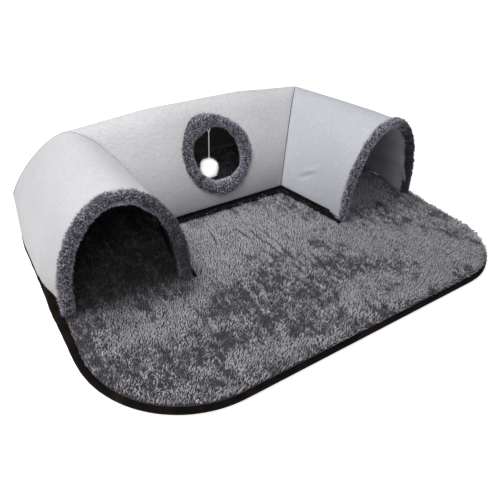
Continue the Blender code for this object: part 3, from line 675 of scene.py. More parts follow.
class BackWall:
    """The straight middle of the back wall as a sheet: x along it and s up it."""

    def __init__(self):
        self.turns = turn_steps(400)
        line = wall_grid("back", np.array([0.0]), self.turns)[0]
        self.line = line
        self.lengths = lengths_along(line)
        tangent = unit(np.gradient(line, axis=0))
        self.normals = np.stack([np.zeros(len(line)), -tangent[:, 2], tangent[:, 1]], axis=-1)
        rising = self.lengths < self.lengths[-1] / 2
        self.middle = float(np.interp(BASE + WINDOW_HEIGHT, line[rising, 2], self.lengths[rising]))

    def at(self, x, s, depth=0.0):
        """Points on the sheet, that deep below the cover, and the normals there."""
        spot = np.stack([np.interp(s, self.lengths, self.line[:, k]) for k in range(3)], axis=-1)
        normal = unit(np.stack([np.interp(s, self.lengths, self.normals[:, k]) for k in range(3)], axis=-1))
        spot[..., 0] = x
        return spot - normal * depth, normal

    def outline(self, count, inwards, depth):
        """Points round the window, that far inside the middle of its roll."""
        turn = ring_turns(count)
        x = WINDOW_X + (WINDOW_HALF_WIDTH - inwards) * np.cos(turn)
        s = self.middle + (WINDOW_HALF_LENGTH - inwards) * np.sin(turn)
        return self.at(x, s, depth)


back_wall = BackWall()
print("window middle", back_wall.at(WINDOW_X, back_wall.middle)[0].round(4))

# %% Covers
def window_cut(along, turns, grid):
    """Which cells of the back's grid stay, the grid with the hole's edge on its outline, and that edge."""
    s = np.interp(turns, back_wall.turns, back_wall.lengths)
    x, s = np.meshgrid(along, s, indexing="ij")
    half_width, half_length = WINDOW_HALF_WIDTH - CUT_UNDER_ROLL, WINDOW_HALF_LENGTH - CUT_UNDER_ROLL
    across, up = (x - WINDOW_X) / half_width, (s - back_wall.middle) / half_length
    reach = np.hypot(across, up)
    keep = (reach[:-1, :-1] + reach[1:, :-1] + reach[:-1, 1:] + reach[1:, 1:]) / 4 > 1
    used = np.zeros(reach.shape, bool)
    gone = np.zeros(reach.shape, bool)
    for i, j in np.ndindex(2, 2):
        corner = (slice(i, i + keep.shape[0]), slice(j, j + keep.shape[1]))
        used[corner] |= keep
        gone[corner] |= ~keep
    edge = used & gone
    grid = grid.copy()
    grid[edge], _ = back_wall.at(WINDOW_X + across[edge] / reach[edge] * half_width,
                                 back_wall.middle + up[edge] / reach[edge] * half_length)
    return keep, grid, edge


# Folds in the right cover: from y, height to y, height, width and depth
COVER_FOLDS = (((0.066, 0.072), (0.012, 0.105), 0.0042, 0.0030),
               ((0.058, 0.086), (0.006, 0.120), 0.0045, -0.0026))


def cover(section, finish, seed):
    along = section_steps(section, 0.005)
    turns = turn_steps(120, hem=5)
    grid = wall_grid(section, along, turns, hem=True)
    normals = outwards(section, grid)
    held = np.zeros(grid.shape[:2], bool)
    keep = None
    if section == "back":
        keep, grid, held = window_cut(along, turns, grid)
    else:
        held[along < HELD_AT_MOUTH] = True
    held[to_seam(section, along) < HELD_AT_SEAM] = True
    held[:, (turns < HELD_INNER_FOOT) | (turns > HELD_OUTER_HEM)] = True
    push = swell(section + "_sheet", grid, normals, held, keep)
    push = push + slack(grid, seed) * smooth_step(push, 0.0, 0.001)
    push -= SEAM_TURN_IN * np.exp(-(to_seam(section, along)[:, None] / SEAM_WIDTH) ** 2)
    if section == "right":
        push += sum(crease(grid, *fold) for fold in COVER_FOLDS) * (turns < np.pi / 2)
    outer = grid + normals * push[..., None]
    inner = grid - normals * (COVER - push[..., None].clip(None, 0))
    made = shell(section + "_suede_cover", outer, inner, finish, [section + "_cover"], keep)


for section, seed in (("left", 3), ("back", 5), ("right", 7)):
    cover(section, suede_of[section], seed)

# %% [markdown]
# ## The lining
#
# Inside, a plain woven lining is held at the seams alone, so it hangs a little loose from the foam
# and shows the folds along which the tunnel packs flat. It is darker than the suede and its weave
# is fine, so the finish is two crossed waves at thread scale under a soft shade of dust. Each
# section has its own two greys, which are painted light and shade: near black in the left arm, dim
# at the back and light in the right arm. Each is also painted lighter towards its mouth, as the
# light that comes in there.

# %% Lining
# The grey painted towards a mouth, as the light that comes in there.
PAINTED_LIGHT_GREY = (0.30, 0.30, 0.27)


def lining_finish(name, dark, light, lit_grey_at_mouth=PAINTED_LIGHT_GREY, lit_from=-0.02, lit_to=0.13):
    cloth = Finish(name, roughness=0.85, specular_ior_level=0.2)
    weave = cloth.wave("X", 420.0) * 0.5 + cloth.wave("Z", 420.0) * 0.5
    colour = cloth.blend(cloth.grain(14, 3) * 0.7 + weave * 0.3, dark, light)
    # Painted light: the lining turns to the mouth's grey towards its mouth.
    painted_light_share = cloth.window(cloth.along(1) * -1.0, lit_from, lit_to)
    return cloth.finish(colour=cloth.blend(painted_light_share, colour, lit_grey_at_mouth), height=weave, distance=0.0002,
                        strength=0.3)


# Lit and shaded copies of one lining: painted shade in the left arm, dimmer at the back, painted light in the
# right arm.
lining_of = {"left": lining_finish("shaded_lining", (0.010, 0.010, 0.009), (0.028, 0.028, 0.026)),
             "back": lining_finish("dim_lining", (0.13, 0.13, 0.138), (0.24, 0.24, 0.25)),
             "right": lining_finish("lit_lining", (0.20, 0.195, 0.21), (0.46, 0.45, 0.48), (0.70, 0.68, 0.73),
                                    -0.10, 0.08)}
LINING_FOLDS = (((-0.07, 0.125), (0.10, 0.070), 0.010, 0.006), ((-0.10, 0.165), (0.02, 0.170), 0.006, 0.003),
                ((-0.09, 0.04), (-0.05, 0.115), 0.008, 0.004))
LOOSE = 0.0011


def sheet_area(grid, keep):
    """Area of the cells of a grid, all of them or those that stay."""
    cells = grid_faces(*grid.shape[:2])
    cells = cells if keep is None else cells[keep.reshape(-1)]
    a, b, c, d = grid.reshape(-1, 3)[cells].transpose(1, 0, 2)
    return float(np.linalg.norm(np.cross(c - a, d - b), axis=-1).sum() / 2)


def lining(section, seed):
    along = section_steps(section, 0.008)
    turns = turn_steps(70)
    grid = wall_grid(section, along, turns)
    normals = outwards(section, grid)
    keep = None
    if section == "back":
        keep, grid, _ = window_cut(along, turns, grid)
    grid = grid - normals * (WALL - LINING)
    loose = (soft_noise(grid * [14, 14, 22], seed) + 1) * LOOSE
    held = smooth_step(to_seam(section, along), 0.0, 0.02)[:, None]
    if section == "right":
        loose = loose - sum(crease(grid, *fold) for fold in LINING_FOLDS) * (turns > np.pi / 2)
    inner = grid - normals * (LINING + loose * held)[..., None]
    made = shell(section + "_woven_lining", inner + normals * LINING, inner, lining_of[section],
                 [section + "_lining"], keep)
    area = sheet_area(inner, keep)


for section, seed in (("left", 11), ("back", 12), ("right", 13)):
    lining(section, seed)

# %% [markdown]
# ## Plush from clumps
#
# Plush is thousands of fibres that gather in small clumps, and it is these clumps that catch the
# light. Hair curves would be the first idea, but they don't survive an export. A clump made of
# four faces does: a slim pyramid whose tip leans the way the pile was brushed. Each one carries
# two numbers, its tone and how near its tip a point is, and the finish turns them into colour.

# %% Clumps
ROOT_DEPTH = 0.25


def mark(made, name, values):
    """Stores a number at each point of a piece, for its finish to read."""
    numbers = np.full(len(made.data.vertices), values, np.float32)
    made.data.attributes.new(name, "FLOAT", "POINT").data.foreach_set("value", numbers)


def clumps(name, roots, normals, lean, height, width, tone, finish, body, seed):
    """Adds one slim pyramid for each root, its tip moved along lean."""
    rng = np.random.default_rng(seed)
    count = len(roots)
    side = unit(np.cross(normals, unit(lean + rng.normal(0, 0.3, (count, 3)))))
    other = np.cross(normals, side)
    turn = rng.uniform(0, 2 * np.pi, count)
    points = np.zeros((count, 4, 3))
    for k in range(3):
        angle = (turn + k * 2 * np.pi / 3)[:, None]
        points[:, k] = roots + (side * np.cos(angle) + other * np.sin(angle)) * (width / 2)[:, None]
        points[:, k] -= normals * (height * ROOT_DEPTH)[:, None]
    points[:, 3] = roots + normals * height[:, None] + lean
    start = np.arange(count)[:, None] * 4
    faces = np.stack([start + [0, 1, 3], start + [1, 2, 3], start + [2, 0, 3], start + [0, 2, 1]],
                     axis=1).reshape(-1, 3)
    made = piece(name, points, faces, finish, body)
    mark(made, "tone", np.repeat(tone, 4))
    mark(made, "tip", np.tile([0.0, 0.0, 0.0, 1.0], count))
    return made


def scatter(grid, normals, count, seed):
    """Random places on a grid, with their normals."""
    rng = np.random.default_rng(seed)
    rows, columns = grid.shape[:2]
    u, v = rng.uniform(0, rows - 1.001, count), rng.uniform(0, columns - 1.001, count)
    i, j = u.astype(int), v.astype(int)
    u, v = (u - i)[:, None], (v - j)[:, None]

    def pick(values):
        low = values[i, j] * (1 - v) + values[i, j + 1] * v
        high = values[i + 1, j] * (1 - v) + values[i + 1, j + 1] * v
        return low * (1 - u) + high * u

    return pick(grid), unit(pick(normals))

# %% Plush finishes
def plush_finish(name, dark, light, painted_glow=0.0):
    """Pile whose colour comes from each clump's tone and is darker near its root. Its emission, when above 0,
    is painted light that makes it glow.
    """
    pile = Finish(name, roughness=0.9, sheen_weight=0.35, sheen_roughness=0.45, specular_ior_level=0.2,
                  emission_color=WHITE, emission_strength=painted_glow)
    tone, tip = pile.attribute("tone"), pile.attribute("tip")
    fibre = pile.grain(500, 3)
    shade = pile.window(tone * 0.9 + (fibre - 0.5) * 0.3 + tip * 0.2, 0.0, 1.1)
    return pile.finish(colour=pile.blend(shade, dark, light), roughness=fibre * 0.2 + 0.78, height=fibre,
                       distance=0.0008, strength=0.6)


# The ball glows a little, as painted light, so that it is whiter than its place in the shade of the window
# would make it
BALL_PAINTED_GLOW = 0.54
mat_pile = plush_finish("mat_pile", (0.018, 0.017, 0.021), (0.74, 0.71, 0.79))
rim_pile = plush_finish("rim_pile", (0.014, 0.0135, 0.018), (0.66, 0.63, 0.76))
ball_pile = plush_finish("ball_pile", (0.86, 0.86, 0.87), (0.97, 0.97, 0.97), BALL_PAINTED_GLOW)
print("piles:", [finish.name for finish in (mat_pile, rim_pile, ball_pile)])

# %% [markdown]
# ## The mat
#
# The mat's plan has a large round corner at the front left and a smaller one at the front right,
# and behind the mouths it is drawn in under the tunnel's walls. Its outline is worked out from the
# walls' feet. Both the plush and the cloth below are rings that shrink from it to a spine.

# %% The mat's outline
PLUSH_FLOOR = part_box("mat_plush_top")[0].z
LEFT_RADIUS = 0.215
RIGHT_RADIUS = 0.150
FLARE = 0.080
CORNER_STEPS = 40
FLARE_STEPS = 16
MAT_OFF_COVER = COVER + 0.0006
PLUSH_EDGE_INSET = 0.0042
HIDDEN_EDGE_INSET = 0.0012
# How much wider the binding's lap is along the left edge, at places along y
LAP_PLACES = (-0.34, -0.25, -0.15, -0.06, 0.0, 0.03)
LAP_WIDER = (0.0, 0.004, 0.0085, 0.0125, 0.0125, 0.0)
SPINE_Y = 0.06
SPINE_SHARE = 0.55


def corners_of(node):
    """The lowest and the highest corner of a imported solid's box."""
    return (np.array(corner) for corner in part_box(node))


MAT_LOW, MAT_HIGH = corners_of("mat_edge_binding")


def mat_side(radius):
    """One side of the mat's outline, from the front round to the back, as the right side."""
    turn = -np.pi / 2 * (1 - np.linspace(0, 1, CORNER_STEPS))
    corner = np.stack([MAT_HIGH[0] - radius * (1 - np.cos(turn)), MAT_LOW[1] + radius * (1 + np.sin(turn))],
                      axis=-1)
    places = np.array([HEM_START, HEM_FULL, ARM_MIDDLE, ARM_LENGTH])
    feet = wall_grid("right", places, np.array([np.pi]))[:, 0, :2]
    back = wall_grid("back", np.array([CORNER_X, STRAIGHT]), np.array([np.pi]))[:, 0, :2]
    inner = np.concatenate([feet - [MAT_OFF_COVER, 0], back[1:] - [0, MAT_OFF_COVER]])
    inner[3] -= [0, MAT_OFF_COVER]
    start = np.array([MAT_HIGH[0], inner[0, 1] - FLARE])
    share = np.linspace(0, 1, FLARE_STEPS, endpoint=False)[:, None]
    flare = start + (inner[0] - start) * np.concatenate([share * share * (3 - 2 * share), share], axis=-1)
    return np.concatenate([corner, flare, inner])


right_half = mat_side(RIGHT_RADIUS)
left_half = mat_side(LEFT_RADIUS)[::-1] * [-1, 1]
mat_outline = np.concatenate([right_half, left_half])
FLARE_START_Y, FLARE_END_Y = right_half[[CORNER_STEPS, CORNER_STEPS + FLARE_STEPS], 1]


def resample(line, spacing):
    """The closed line again, with points that far apart."""
    ring = np.concatenate([line, line[:1]])
    lengths = lengths_along(ring)
    at = np.linspace(0, lengths[-1], int(lengths[-1] / spacing), endpoint=False)
    return np.stack([np.interp(at, lengths, ring[:, k]) for k in range(ring.shape[1])], axis=-1)


def outward(line):
    """Unit normals of a closed anticlockwise line, pointing out."""
    tangent = unit(np.roll(line, -1, axis=0) - np.roll(line, 1, axis=0))
    return np.stack([tangent[:, 1], -tangent[:, 0]], axis=-1)


def inset(line, distance):
    """A closed anticlockwise line moved inwards."""
    return line - outward(line) * np.reshape(distance, (-1, 1))


def under_hem(line):
    """0 in front of the tunnel and 1 where the covers' hem hides the mat's edge."""
    return smooth_step(line[:, 1], FLARE_START_Y, FLARE_END_Y)


def wider_lap(line):
    """How much wider the binding's lap is along the left edge, most beside the left mouth."""
    return np.where(line[:, 0] < 0, np.interp(line[:, 1], LAP_PLACES, LAP_WIDER), 0.0)


def plush_line(spacing):
    """The plush's edge. In front of the tunnel it leaves the binding's lap to be seen."""
    line = resample(mat_outline, spacing)
    hidden = under_hem(line)
    return inset(line, PLUSH_EDGE_INSET * (1 - hidden) + HIDDEN_EDGE_INSET * hidden + wider_lap(line))


def rings_to_spine(line, count):
    """Rings that shrink from a closed line to a spine along the mat's middle."""
    spine = np.stack([line[:, 0] * SPINE_SHARE, np.full(len(line), SPINE_Y)], axis=-1)
    share = np.linspace(0, 1, count)[:, None, None]
    return line[None] * (1 - share) + spine[None] * share


def inside_line(points, line):
    """Which points lie inside a closed line."""
    x, y = points[:, 0], points[:, 1]
    inside = np.zeros(len(points), bool)
    for (ax, ay), (bx, by) in zip(line, np.roll(line, -1, axis=0)):
        crosses = (ay > y) != (by > y)
        if ay != by:
            inside ^= crosses & (x < (bx - ax) * (y - ay) / (by - ay) + ax)
    return inside


edge_line = resample(mat_outline, 0.004)
print("mat outline", len(edge_line), "points, depth", round(float(np.ptp(edge_line[:, 1])), 3), "m")

# %% [markdown]
# The pile was stroked by hand in patches, and that is what the eye sees: each patch leans its own
# way and is lighter or darker. The patches and the partings were read off the picture, so they
# are written down as they are seen there, and the camera puts them on the mat.

# %% Where the pile was stroked
PILE_SEEN_AT = 0.022
# Ellipses in the picture: x, y, half length, half width, turn in degrees, and how much lighter
# The last stroke, at 359, 195, is painted light on the floor inside the right mouth, where the lamps hardly
# reach.
STROKES = ((268, 300, 62, 22, -11, -1.0), (300, 325, 42, 20, -20, -0.9), (230, 345, 50, 15, -20, -0.8),
           (180, 360, 40, 13, -15, -0.8), (110, 365, 35, 24, 35, -0.7), (345, 266, 30, 8, 0, -1.1),
           (395, 270, 20, 5, 0, -0.9), (382, 312, 14, 8, -25, -1.2), (460, 278, 16, 7, -25, -0.9),
           (278, 272, 12, 10, 0, -0.8), (315, 285, 22, 9, 25, -0.7), (92, 335, 22, 12, 10, -0.7),
           (410, 223, 25, 4, -10, -0.9), (380, 208, 9, 9, 0, -0.8), (150, 386, 30, 11, -5, -0.6),
           (250, 235, 75, 22, -5, 0.8), (215, 272, 36, 20, -15, 1.0), (168, 320, 48, 11, -28, 1.1),
           (352, 302, 9, 20, -10, 1.5), (235, 365, 12, 9, 0, 1.5), (200, 376, 25, 6, 28, 1.2),
           (285, 347, 20, 8, -20, 0.9), (400, 245, 60, 14, 5, 1.0), (440, 257, 35, 18, -5, 0.7),
           (410, 291, 35, 9, -25, 0.8), (359, 195, 29, 14, 4, 1.5))
# Lines in the picture along which the pile parts: from x, y to x, y
PARTINGS = ((247, 231, 299, 270), (254, 226, 303, 267), (234, 231, 254, 243), (311, 256, 333, 277),
            (278, 220, 307, 210), (209, 232, 216, 247), (373, 298, 392, 315), (301, 256, 322, 272),
            (263, 271, 286, 289))
PARTING_WIDTH = 0.0028
PARTING_DRIFT = 0.0035


def on_the_mat(x, y):
    """The place on the mat that the camera sees at a point of the picture."""
    middle = PICTURE_WIDTH / 2
    ray = looking + (right_side * (x - middle) - top_side * (y - middle)) / FOCAL_PIXELS
    return np.array(CAMERA_PLACE + ray * ((PILE_SEEN_AT - CAMERA_PLACE.z) / ray.z))[:2]


def stroke(x, y, half_length, half_width, turn):
    """The middle of a stroke on the mat, and the map that takes what lies in it into a unit circle."""
    cosine, sine = math.cos(math.radians(turn)), math.sin(math.radians(turn))
    halves = [(on_the_mat(x + right, y + down) - on_the_mat(x - right, y - down)) / 2
              for right, down in ((half_length * cosine, half_length * sine),
                                  (-half_width * sine, half_width * cosine))]
    return on_the_mat(x, y), np.linalg.inv(np.stack(halves, axis=1))


strokes = [(*stroke(*seen), lighter) for *seen, lighter in STROKES]
partings = [(on_the_mat(*seen[:2]), on_the_mat(*seen[2:])) for seen in PARTINGS]


def drift(points, seed):
    """Two noises at once, one for each direction of the plan."""
    return np.stack([soft_noise(points, seed), soft_noise(points, seed + 1)], axis=-1)


def parted(plan):
    """1 in the middle of a parting, and 1 where the pile is heaped beside it."""
    plan = plan + drift(at_height(plan) * 60, 34) * PARTING_DRIFT
    gap, heap = np.zeros(len(plan)), np.zeros(len(plan))
    for start, end in partings:
        share, away = to_segment(plan, start, end)
        fade = np.sin(np.pi * share.clip(0.06, 0.94)) ** 0.5
        gap = np.maximum(gap, np.exp(-(away / PARTING_WIDTH) ** 2) * fade)
        heap = np.maximum(heap, np.exp(-(away / PARTING_WIDTH - 2.4) ** 2) * fade)
    return gap, heap


def turned(angle):
    cosine, sine = math.cos(angle), math.sin(angle)
    return np.array([[cosine, -sine, 0], [sine, cosine, 0], [0, 0, 1]])


WIDE_WARP = 0.016
RAGGED_WARP = 0.011
STREAK_TURN = 1.70


def brushing(plan):
    """Tone of the pile, its streaks and the way it leans, at places on the mat."""
    spot = at_height(plan)
    plan = plan + drift(spot * 7, 21) * WIDE_WARP + drift(spot * 30, 27) * RAGGED_WARP
    spot = at_height(plan)
    patch = 0.22 * soft_noise(spot * [11, 11, 1], 23) + 0.42 * soft_noise(spot * [34, 34, 1], 24)
    for middle, to_circle, lighter in strokes:
        reach = (((plan - middle) @ to_circle.T) ** 2).sum(axis=-1)
        patch = patch + lighter * np.exp(-reach ** 2)
    streak = soft_noise((spot @ turned(STREAK_TURN)) * [16, 110, 1], 25)
    heading = 0.6 + 1.2 * soft_noise(spot * 3.2, 26)
    return np.tanh(1.5 * patch), streak, heading


print("strokes:", len(strokes), "the first on the mat at", strokes[0][0].round(3))

# %% The backing under the pile
RINGS = 60
BACKING_DEPTH = 0.0030
BACKING_TONE = 0.15
BACKING_DROP = 0.0045
BACKING_ROUNDING = 0.010
# The rings' share of the way inwards, as a rough distance from the edge
RING_REACH = 0.3


def mat_height(plan):
    """Height of the backing under the pile."""
    patch, streak, _ = brushing(plan)
    return MAT_TOP - BACKING_DEPTH + 0.0009 * patch + 0.0007 * streak


def plush_backing():
    """The plush's cloth: rings over the mat's top, rounded off at the edge, and a flat underside."""
    plan = rings_to_spine(plush_line(0.006), RINGS)
    away = np.linspace(0, 1, RINGS)[:, None] * RING_REACH
    top = mat_height(plan) - BACKING_DROP * np.exp(-(away / BACKING_ROUNDING))
    wall = at_height(inset(plan[0], 0.001), PLUSH_FLOOR + 0.0002)
    count = plan.shape[1]
    faces = grid_faces(RINGS + 1, count, wrap_columns=True)[:, ::-1].tolist()
    spine = [RINGS * count + k for k in range(count)]
    made = piece("mat_plush_backing", np.concatenate([wall[None], at_height(plan, top)]),
                 faces + [spine, list(range(count))], mat_pile, "mat", ["mat_plush_top"])
    mark(made, "tone", BACKING_TONE)


plush_backing()

# %% What shades, presses and bends the pile
# Shares of the painted shade under the arms and the back, and where it sets in
RIGHT_SHADE, BACK_SHADE = 0.4, 0.6
LEFT_SHADE_Y, LEFT_SHADE_X = (-0.165, -0.06), (0.175, 0.215)
RIGHT_SHADE_Y, RIGHT_SHADE_X = (0.06, 0.18), 0.17
BACK_SHADE_Y = (0.12, 0.20)
SLIDER_TRAVEL = 0.13
SLIDER_LANE = 0.0085
# The part of the tape along the back lies beyond this y. The pile leans over it from the fringe on.
BACK_TAPE_Y = 0.05
TAPE_FRINGE = 0.0065
EDGE_OVERHANG = 0.0058
OVERHANG_DEPTH = 0.0055
OVERHANG_DROP = 0.6
OVERHANG_X = (-0.20, 0.05)
COLLAR_FOOT = MOUTH + ARM_AXIS * COLLAR + ARM_ACROSS * MOUTH_SHAPE[0]
CORNER_FOOT = CORNER + MITRE_ACROSS * BACK_SHAPE[0]


def to_the_edge(plan):
    """Distance from places on the mat to the plush's edge, and the way out there."""
    line = plush_line(0.008)
    off = plan[:, None] - line[None]
    distance = np.hypot(off[..., 0], off[..., 1])
    nearest = np.argmin(distance, axis=1)
    return distance[np.arange(len(plan)), nearest], outward(line)[nearest]


def under_the_walls(plan):
    """Share of painted shade on the pile under the tunnel's walls, where the pile is also taken as never
    stroked.
    """
    x, y = plan.T
    left = smooth_step(y, *LEFT_SHADE_Y) * smooth_step(-x, *LEFT_SHADE_X)
    right = RIGHT_SHADE * smooth_step(y, *RIGHT_SHADE_Y) * (x > RIGHT_SHADE_X)
    return np.maximum(np.maximum(left, right), BACK_SHADE * smooth_step(y, *BACK_SHADE_Y))


def under_the_slider(plan):
    """Where the zip's slider runs and presses the pile down."""
    start = sum(corners_of("zip_slider"))[:2] / 2
    run = unit(CORNER_FOOT - COLLAR_FOOT) * [-1, 1] * SLIDER_TRAVEL
    return to_segment(plan, start, start + run)[1] < SLIDER_LANE


def at_the_tape(plan):
    """How near the pile is to the front edge of the zip's tape along the back, which it half hides."""
    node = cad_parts["zip_mat_tape"]
    tape = np.array([node.matrix_world @ vertex.co for vertex in node.data.vertices])
    along_back = tape[tape[:, 1] > BACK_TAPE_Y]
    edge, reach = along_back[:, 1].min(), np.abs(along_back[:, 0]).min()
    x, y = plan.T
    return smooth_step(y, edge - TAPE_FRINGE, edge - 0.0010) * (y < edge) * (np.abs(x) < reach)


def over_the_edge(plan, away, way_out):
    """How the outermost pile hangs over the binding, except round the left front corner."""
    share = np.exp(-(away / OVERHANG_DEPTH) ** 2) * smooth_step(plan[:, 0], *OVERHANG_X)
    share = share * (plan[:, 1] < FLARE_END_Y) * EDGE_OVERHANG
    return at_height(way_out, -OVERHANG_DROP) * share[:, None]


print("the slider's lane is", SLIDER_TRAVEL, "m long and", 2 * SLIDER_LANE, "m wide")

# %% The mat's pile
PILE_HEIGHT = 0.0055
PILE_SPACING = 0.0032
PILE_TONE = 0.58
PAINTED_WALL_SHADE = 0.46
TAPE_LEAN = 0.0048
LANE_HEIGHT = 0.35
TOUSLE = 0.0018
CLUMP_WIDTH = 0.0031
CLUMP_WIDTH_SPREAD = 0.0010
EDGE_DROP = 0.0035
EDGE_ROUNDING = 0.008
# The pile is made in two pieces, so that neither has more faces than an STL file of it may hold
PILE_SPLIT_Y = -0.04


def pile_plan(rng):
    """Places of the clumps: an even grid, each moved a little, inside the plush's edge."""
    x, y = np.meshgrid(*(np.arange(low, high, PILE_SPACING) for low, high in zip(MAT_LOW[:2], MAT_HIGH[:2])))
    plan = np.stack([x.ravel(), y.ravel()], axis=-1)
    plan += rng.uniform(-0.5, 0.5, plan.shape) * PILE_SPACING
    return plan[inside_line(plan, plush_line(0.004))]


def lie_of_the_pile(rng, plan, heading, stroked, away, way_out):
    """How each clump leans, and its height and width."""
    count = len(plan)
    pressed = np.where(under_the_slider(plan), LANE_HEIGHT, 1.0)
    beside = at_the_tape(plan)
    lean = at_height(np.stack([np.cos(heading), np.sin(heading)], axis=-1))
    lean = lean * (PILE_HEIGHT * (0.25 + 0.50 * stroked + 0.30 * rng.uniform(-1, 1, count)))[:, None]
    lean[:, :2] += rng.normal(0, TOUSLE, (count, 2)) * (1.4 - stroked)[:, None]
    lean = lean * pressed[:, None] + over_the_edge(plan, away, way_out)
    lean[:, 1] += TAPE_LEAN * beside
    tall = PILE_HEIGHT * (0.82 + 0.25 * rng.uniform(-1, 1, count) - 0.15 * stroked)
    wide = CLUMP_WIDTH + CLUMP_WIDTH_SPREAD * rng.uniform(-1, 1, count)
    return lean, tall * pressed * (1 + 0.3 * beside), wide


def curls_and_ridges(spot):
    """Small knots and short ridges of the pile, from -1 to 1."""
    curl = np.tanh(1.6 * soft_noise(spot * 150, 29) + 1.0 * soft_noise(spot * 75, 30))
    bent = spot + (soft_noise(spot * 25, 36) * 0.006)[:, None]
    return curl, np.tanh(2.0 * soft_noise(bent * [140, 32, 1], 37))


def mat_clumps():
    """The pile leans and is even where it was stroked, and is curled and ridged where it wasn't."""
    rng = np.random.default_rng(31)
    plan = pile_plan(rng)
    spot = at_height(plan)
    patch, streak, heading = brushing(plan)
    away, way_out = to_the_edge(plan)
    stroked = smooth_step(patch, -0.6, 0.6)
    lean, tall, wide = lie_of_the_pile(rng, plan, heading, stroked, away, way_out)
    under = under_the_walls(plan)
    loose = (1 - stroked) * (1 - 0.6 * under)
    curl, ridge = curls_and_ridges(spot)
    gap, heap = parted(plan)
    fine_parting = np.exp(-(streak / 0.10) ** 2) * smooth_step(soft_noise(spot * 12, 33), -0.1, 0.5)

    height = mat_height(plan) - EDGE_DROP * np.exp(-(away / EDGE_ROUNDING))
    height += (curl * 0.0012 + ridge * 0.0010) * (0.25 + loose)
    height += heap * 0.0008 - gap * 0.0022 - fine_parting * 0.0018
    # The pile under the walls is painted darker, as the tunnel's shade.
    tone = PILE_TONE + 0.26 * patch * (1 - 0.6 * under) + 0.05 * streak - PAINTED_WALL_SHADE * under
    tone += (0.07 + 0.30 * loose) * curl + (0.02 + 0.30 * loose) * ridge
    # The partings are darker partly as the darker roots that they show, and partly as painted shade in them.
    tone += 0.18 * heap - 0.55 * gap - 0.22 * fine_parting
    tone += rng.normal(0, 1, len(plan)) * (0.08 + 0.07 * loose)

    roots = at_height(plan, height)
    normals = np.tile([0.0, 0.0, 1.0], (len(plan), 1))
    front = plan[:, 1] < PILE_SPLIT_Y
    for name, part, seed in (("mat_front_pile", front, 32), ("mat_back_pile", ~front, 38)):
        clumps(name, roots[part], normals[part], lean[part], tall[part], wide[part], tone[part], mat_pile,
               "mat", seed)


mat_clumps()

# %% [markdown]
# ## The rolls of plush
#
# The raw edge of each wall is bound by a roll of the same plush. A roll is a tube along the
# middle of the wall, full and a little lumpy, with short clumps that stand out all round. They
# lean with the roll, which gives the soft, broken outline.

# %% Rolls
def tube(path, normals, radius, sides, closed=False, wobble=0.0, seed=0):
    """A grid of points round a path. Normals give the first direction of each ring."""
    if closed:
        tangent = unit(np.roll(path, -1, axis=0) - np.roll(path, 1, axis=0))
    else:
        tangent = unit(np.gradient(path, axis=0))
    first = unit(normals - tangent * (normals * tangent).sum(axis=-1, keepdims=True))
    second = np.cross(tangent, first)
    turn = (np.arange(sides) * 2 * np.pi / sides)[None, :, None]
    ring = first[:, None] * np.cos(turn) + second[:, None] * np.sin(turn)
    grid = path[:, None] + ring * np.broadcast_to(radius, len(path))[:, None, None]
    if wobble:
        lumps = soft_noise(grid * 70, seed) * wobble + soft_noise(grid * 220, seed + 1) * wobble / 2
        grid = grid + ring * lumps[..., None]
    return grid, ring


def tube_piece(name, grid, finish, body, replaces=(), closed=False):
    rows, columns = grid.shape[:2]
    faces = grid_faces(rows, columns, wrap_rows=closed, wrap_columns=True)[:, ::-1].tolist()
    if not closed:
        faces += [list(range(columns)), [rows * columns - 1 - k for k in range(columns)]]
    return piece(name, grid, faces, finish, body, replaces)


# The pile's middle tone on each roll. The leg of a mouth's roll that turns away from the light is
# darker by its shade, which grows between two places along x.
ROLL_TONE = {"left_mouth_roll": 0.50, "right_mouth_roll": 0.56, "window_roll": 0.58}
ROLL_SHADE = {"left_mouth_roll": (0.36, -0.33, -0.18), "right_mouth_roll": (0.58, 0.33, 0.40),
              "window_roll": (0.0, 1.0, 2.0)}
ROLL_CORE_TONE = 0.2
ROLL_SIDES = 40
ROLL_SPACING = 0.0030
ROLL_PILE = 0.0044
ROLL_LEAN = 0.0022
ROLL_TOUSLE = 0.0008
ROLL_CLUMP_WIDTH = 0.0036
ROLL_LUMPS = 0.0011
CORE_DEPTH = 0.0026


def plush_roll(name, path, normals, radius, node, closed, seed):
    grid, ring = tube(path, normals, radius - CORE_DEPTH, ROLL_SIDES, closed, ROLL_LUMPS, seed)
    made = tube_piece(name, grid, rim_pile, "tunnel", [node], closed)
    mark(made, "tone", ROLL_CORE_TONE)
    wrapped, around = (np.concatenate([part, part[:, :1]], axis=1) for part in (grid, ring))
    if closed:
        wrapped, around = (np.concatenate([part, part[:1]]) for part in (wrapped, around))
    count = int(lengths_along(path)[-1] * 2 * np.pi * np.mean(radius) / ROLL_SPACING ** 2)
    roots, outs = scatter(wrapped, around, count, seed + 2)
    rng = np.random.default_rng(seed + 3)
    lean = np.cross(outs, [0.3, 0.5, 0.8]) * (soft_noise(roots * 30, seed + 4) * ROLL_LEAN)[:, None]
    lean += rng.normal(0, ROLL_TOUSLE, lean.shape)
    tall = ROLL_PILE * (0.78 + 0.32 * rng.uniform(-1, 1, count))
    wide = ROLL_CLUMP_WIDTH * (1 + rng.uniform(-1, 1, count) / 3)
    shade, *legs = ROLL_SHADE[name]
    tone = ROLL_TONE[name] - shade * smooth_step(roots[:, 0], *legs) + rng.normal(0, 0.12, count)
    tone += 0.27 * soft_noise(roots * 170, seed + 5) + 0.13 * soft_noise(roots * 40, seed + 7)
    clumps(name + "_pile", roots, outs, lean, tall, wide, tone, rim_pile, "tunnel", seed + 6)


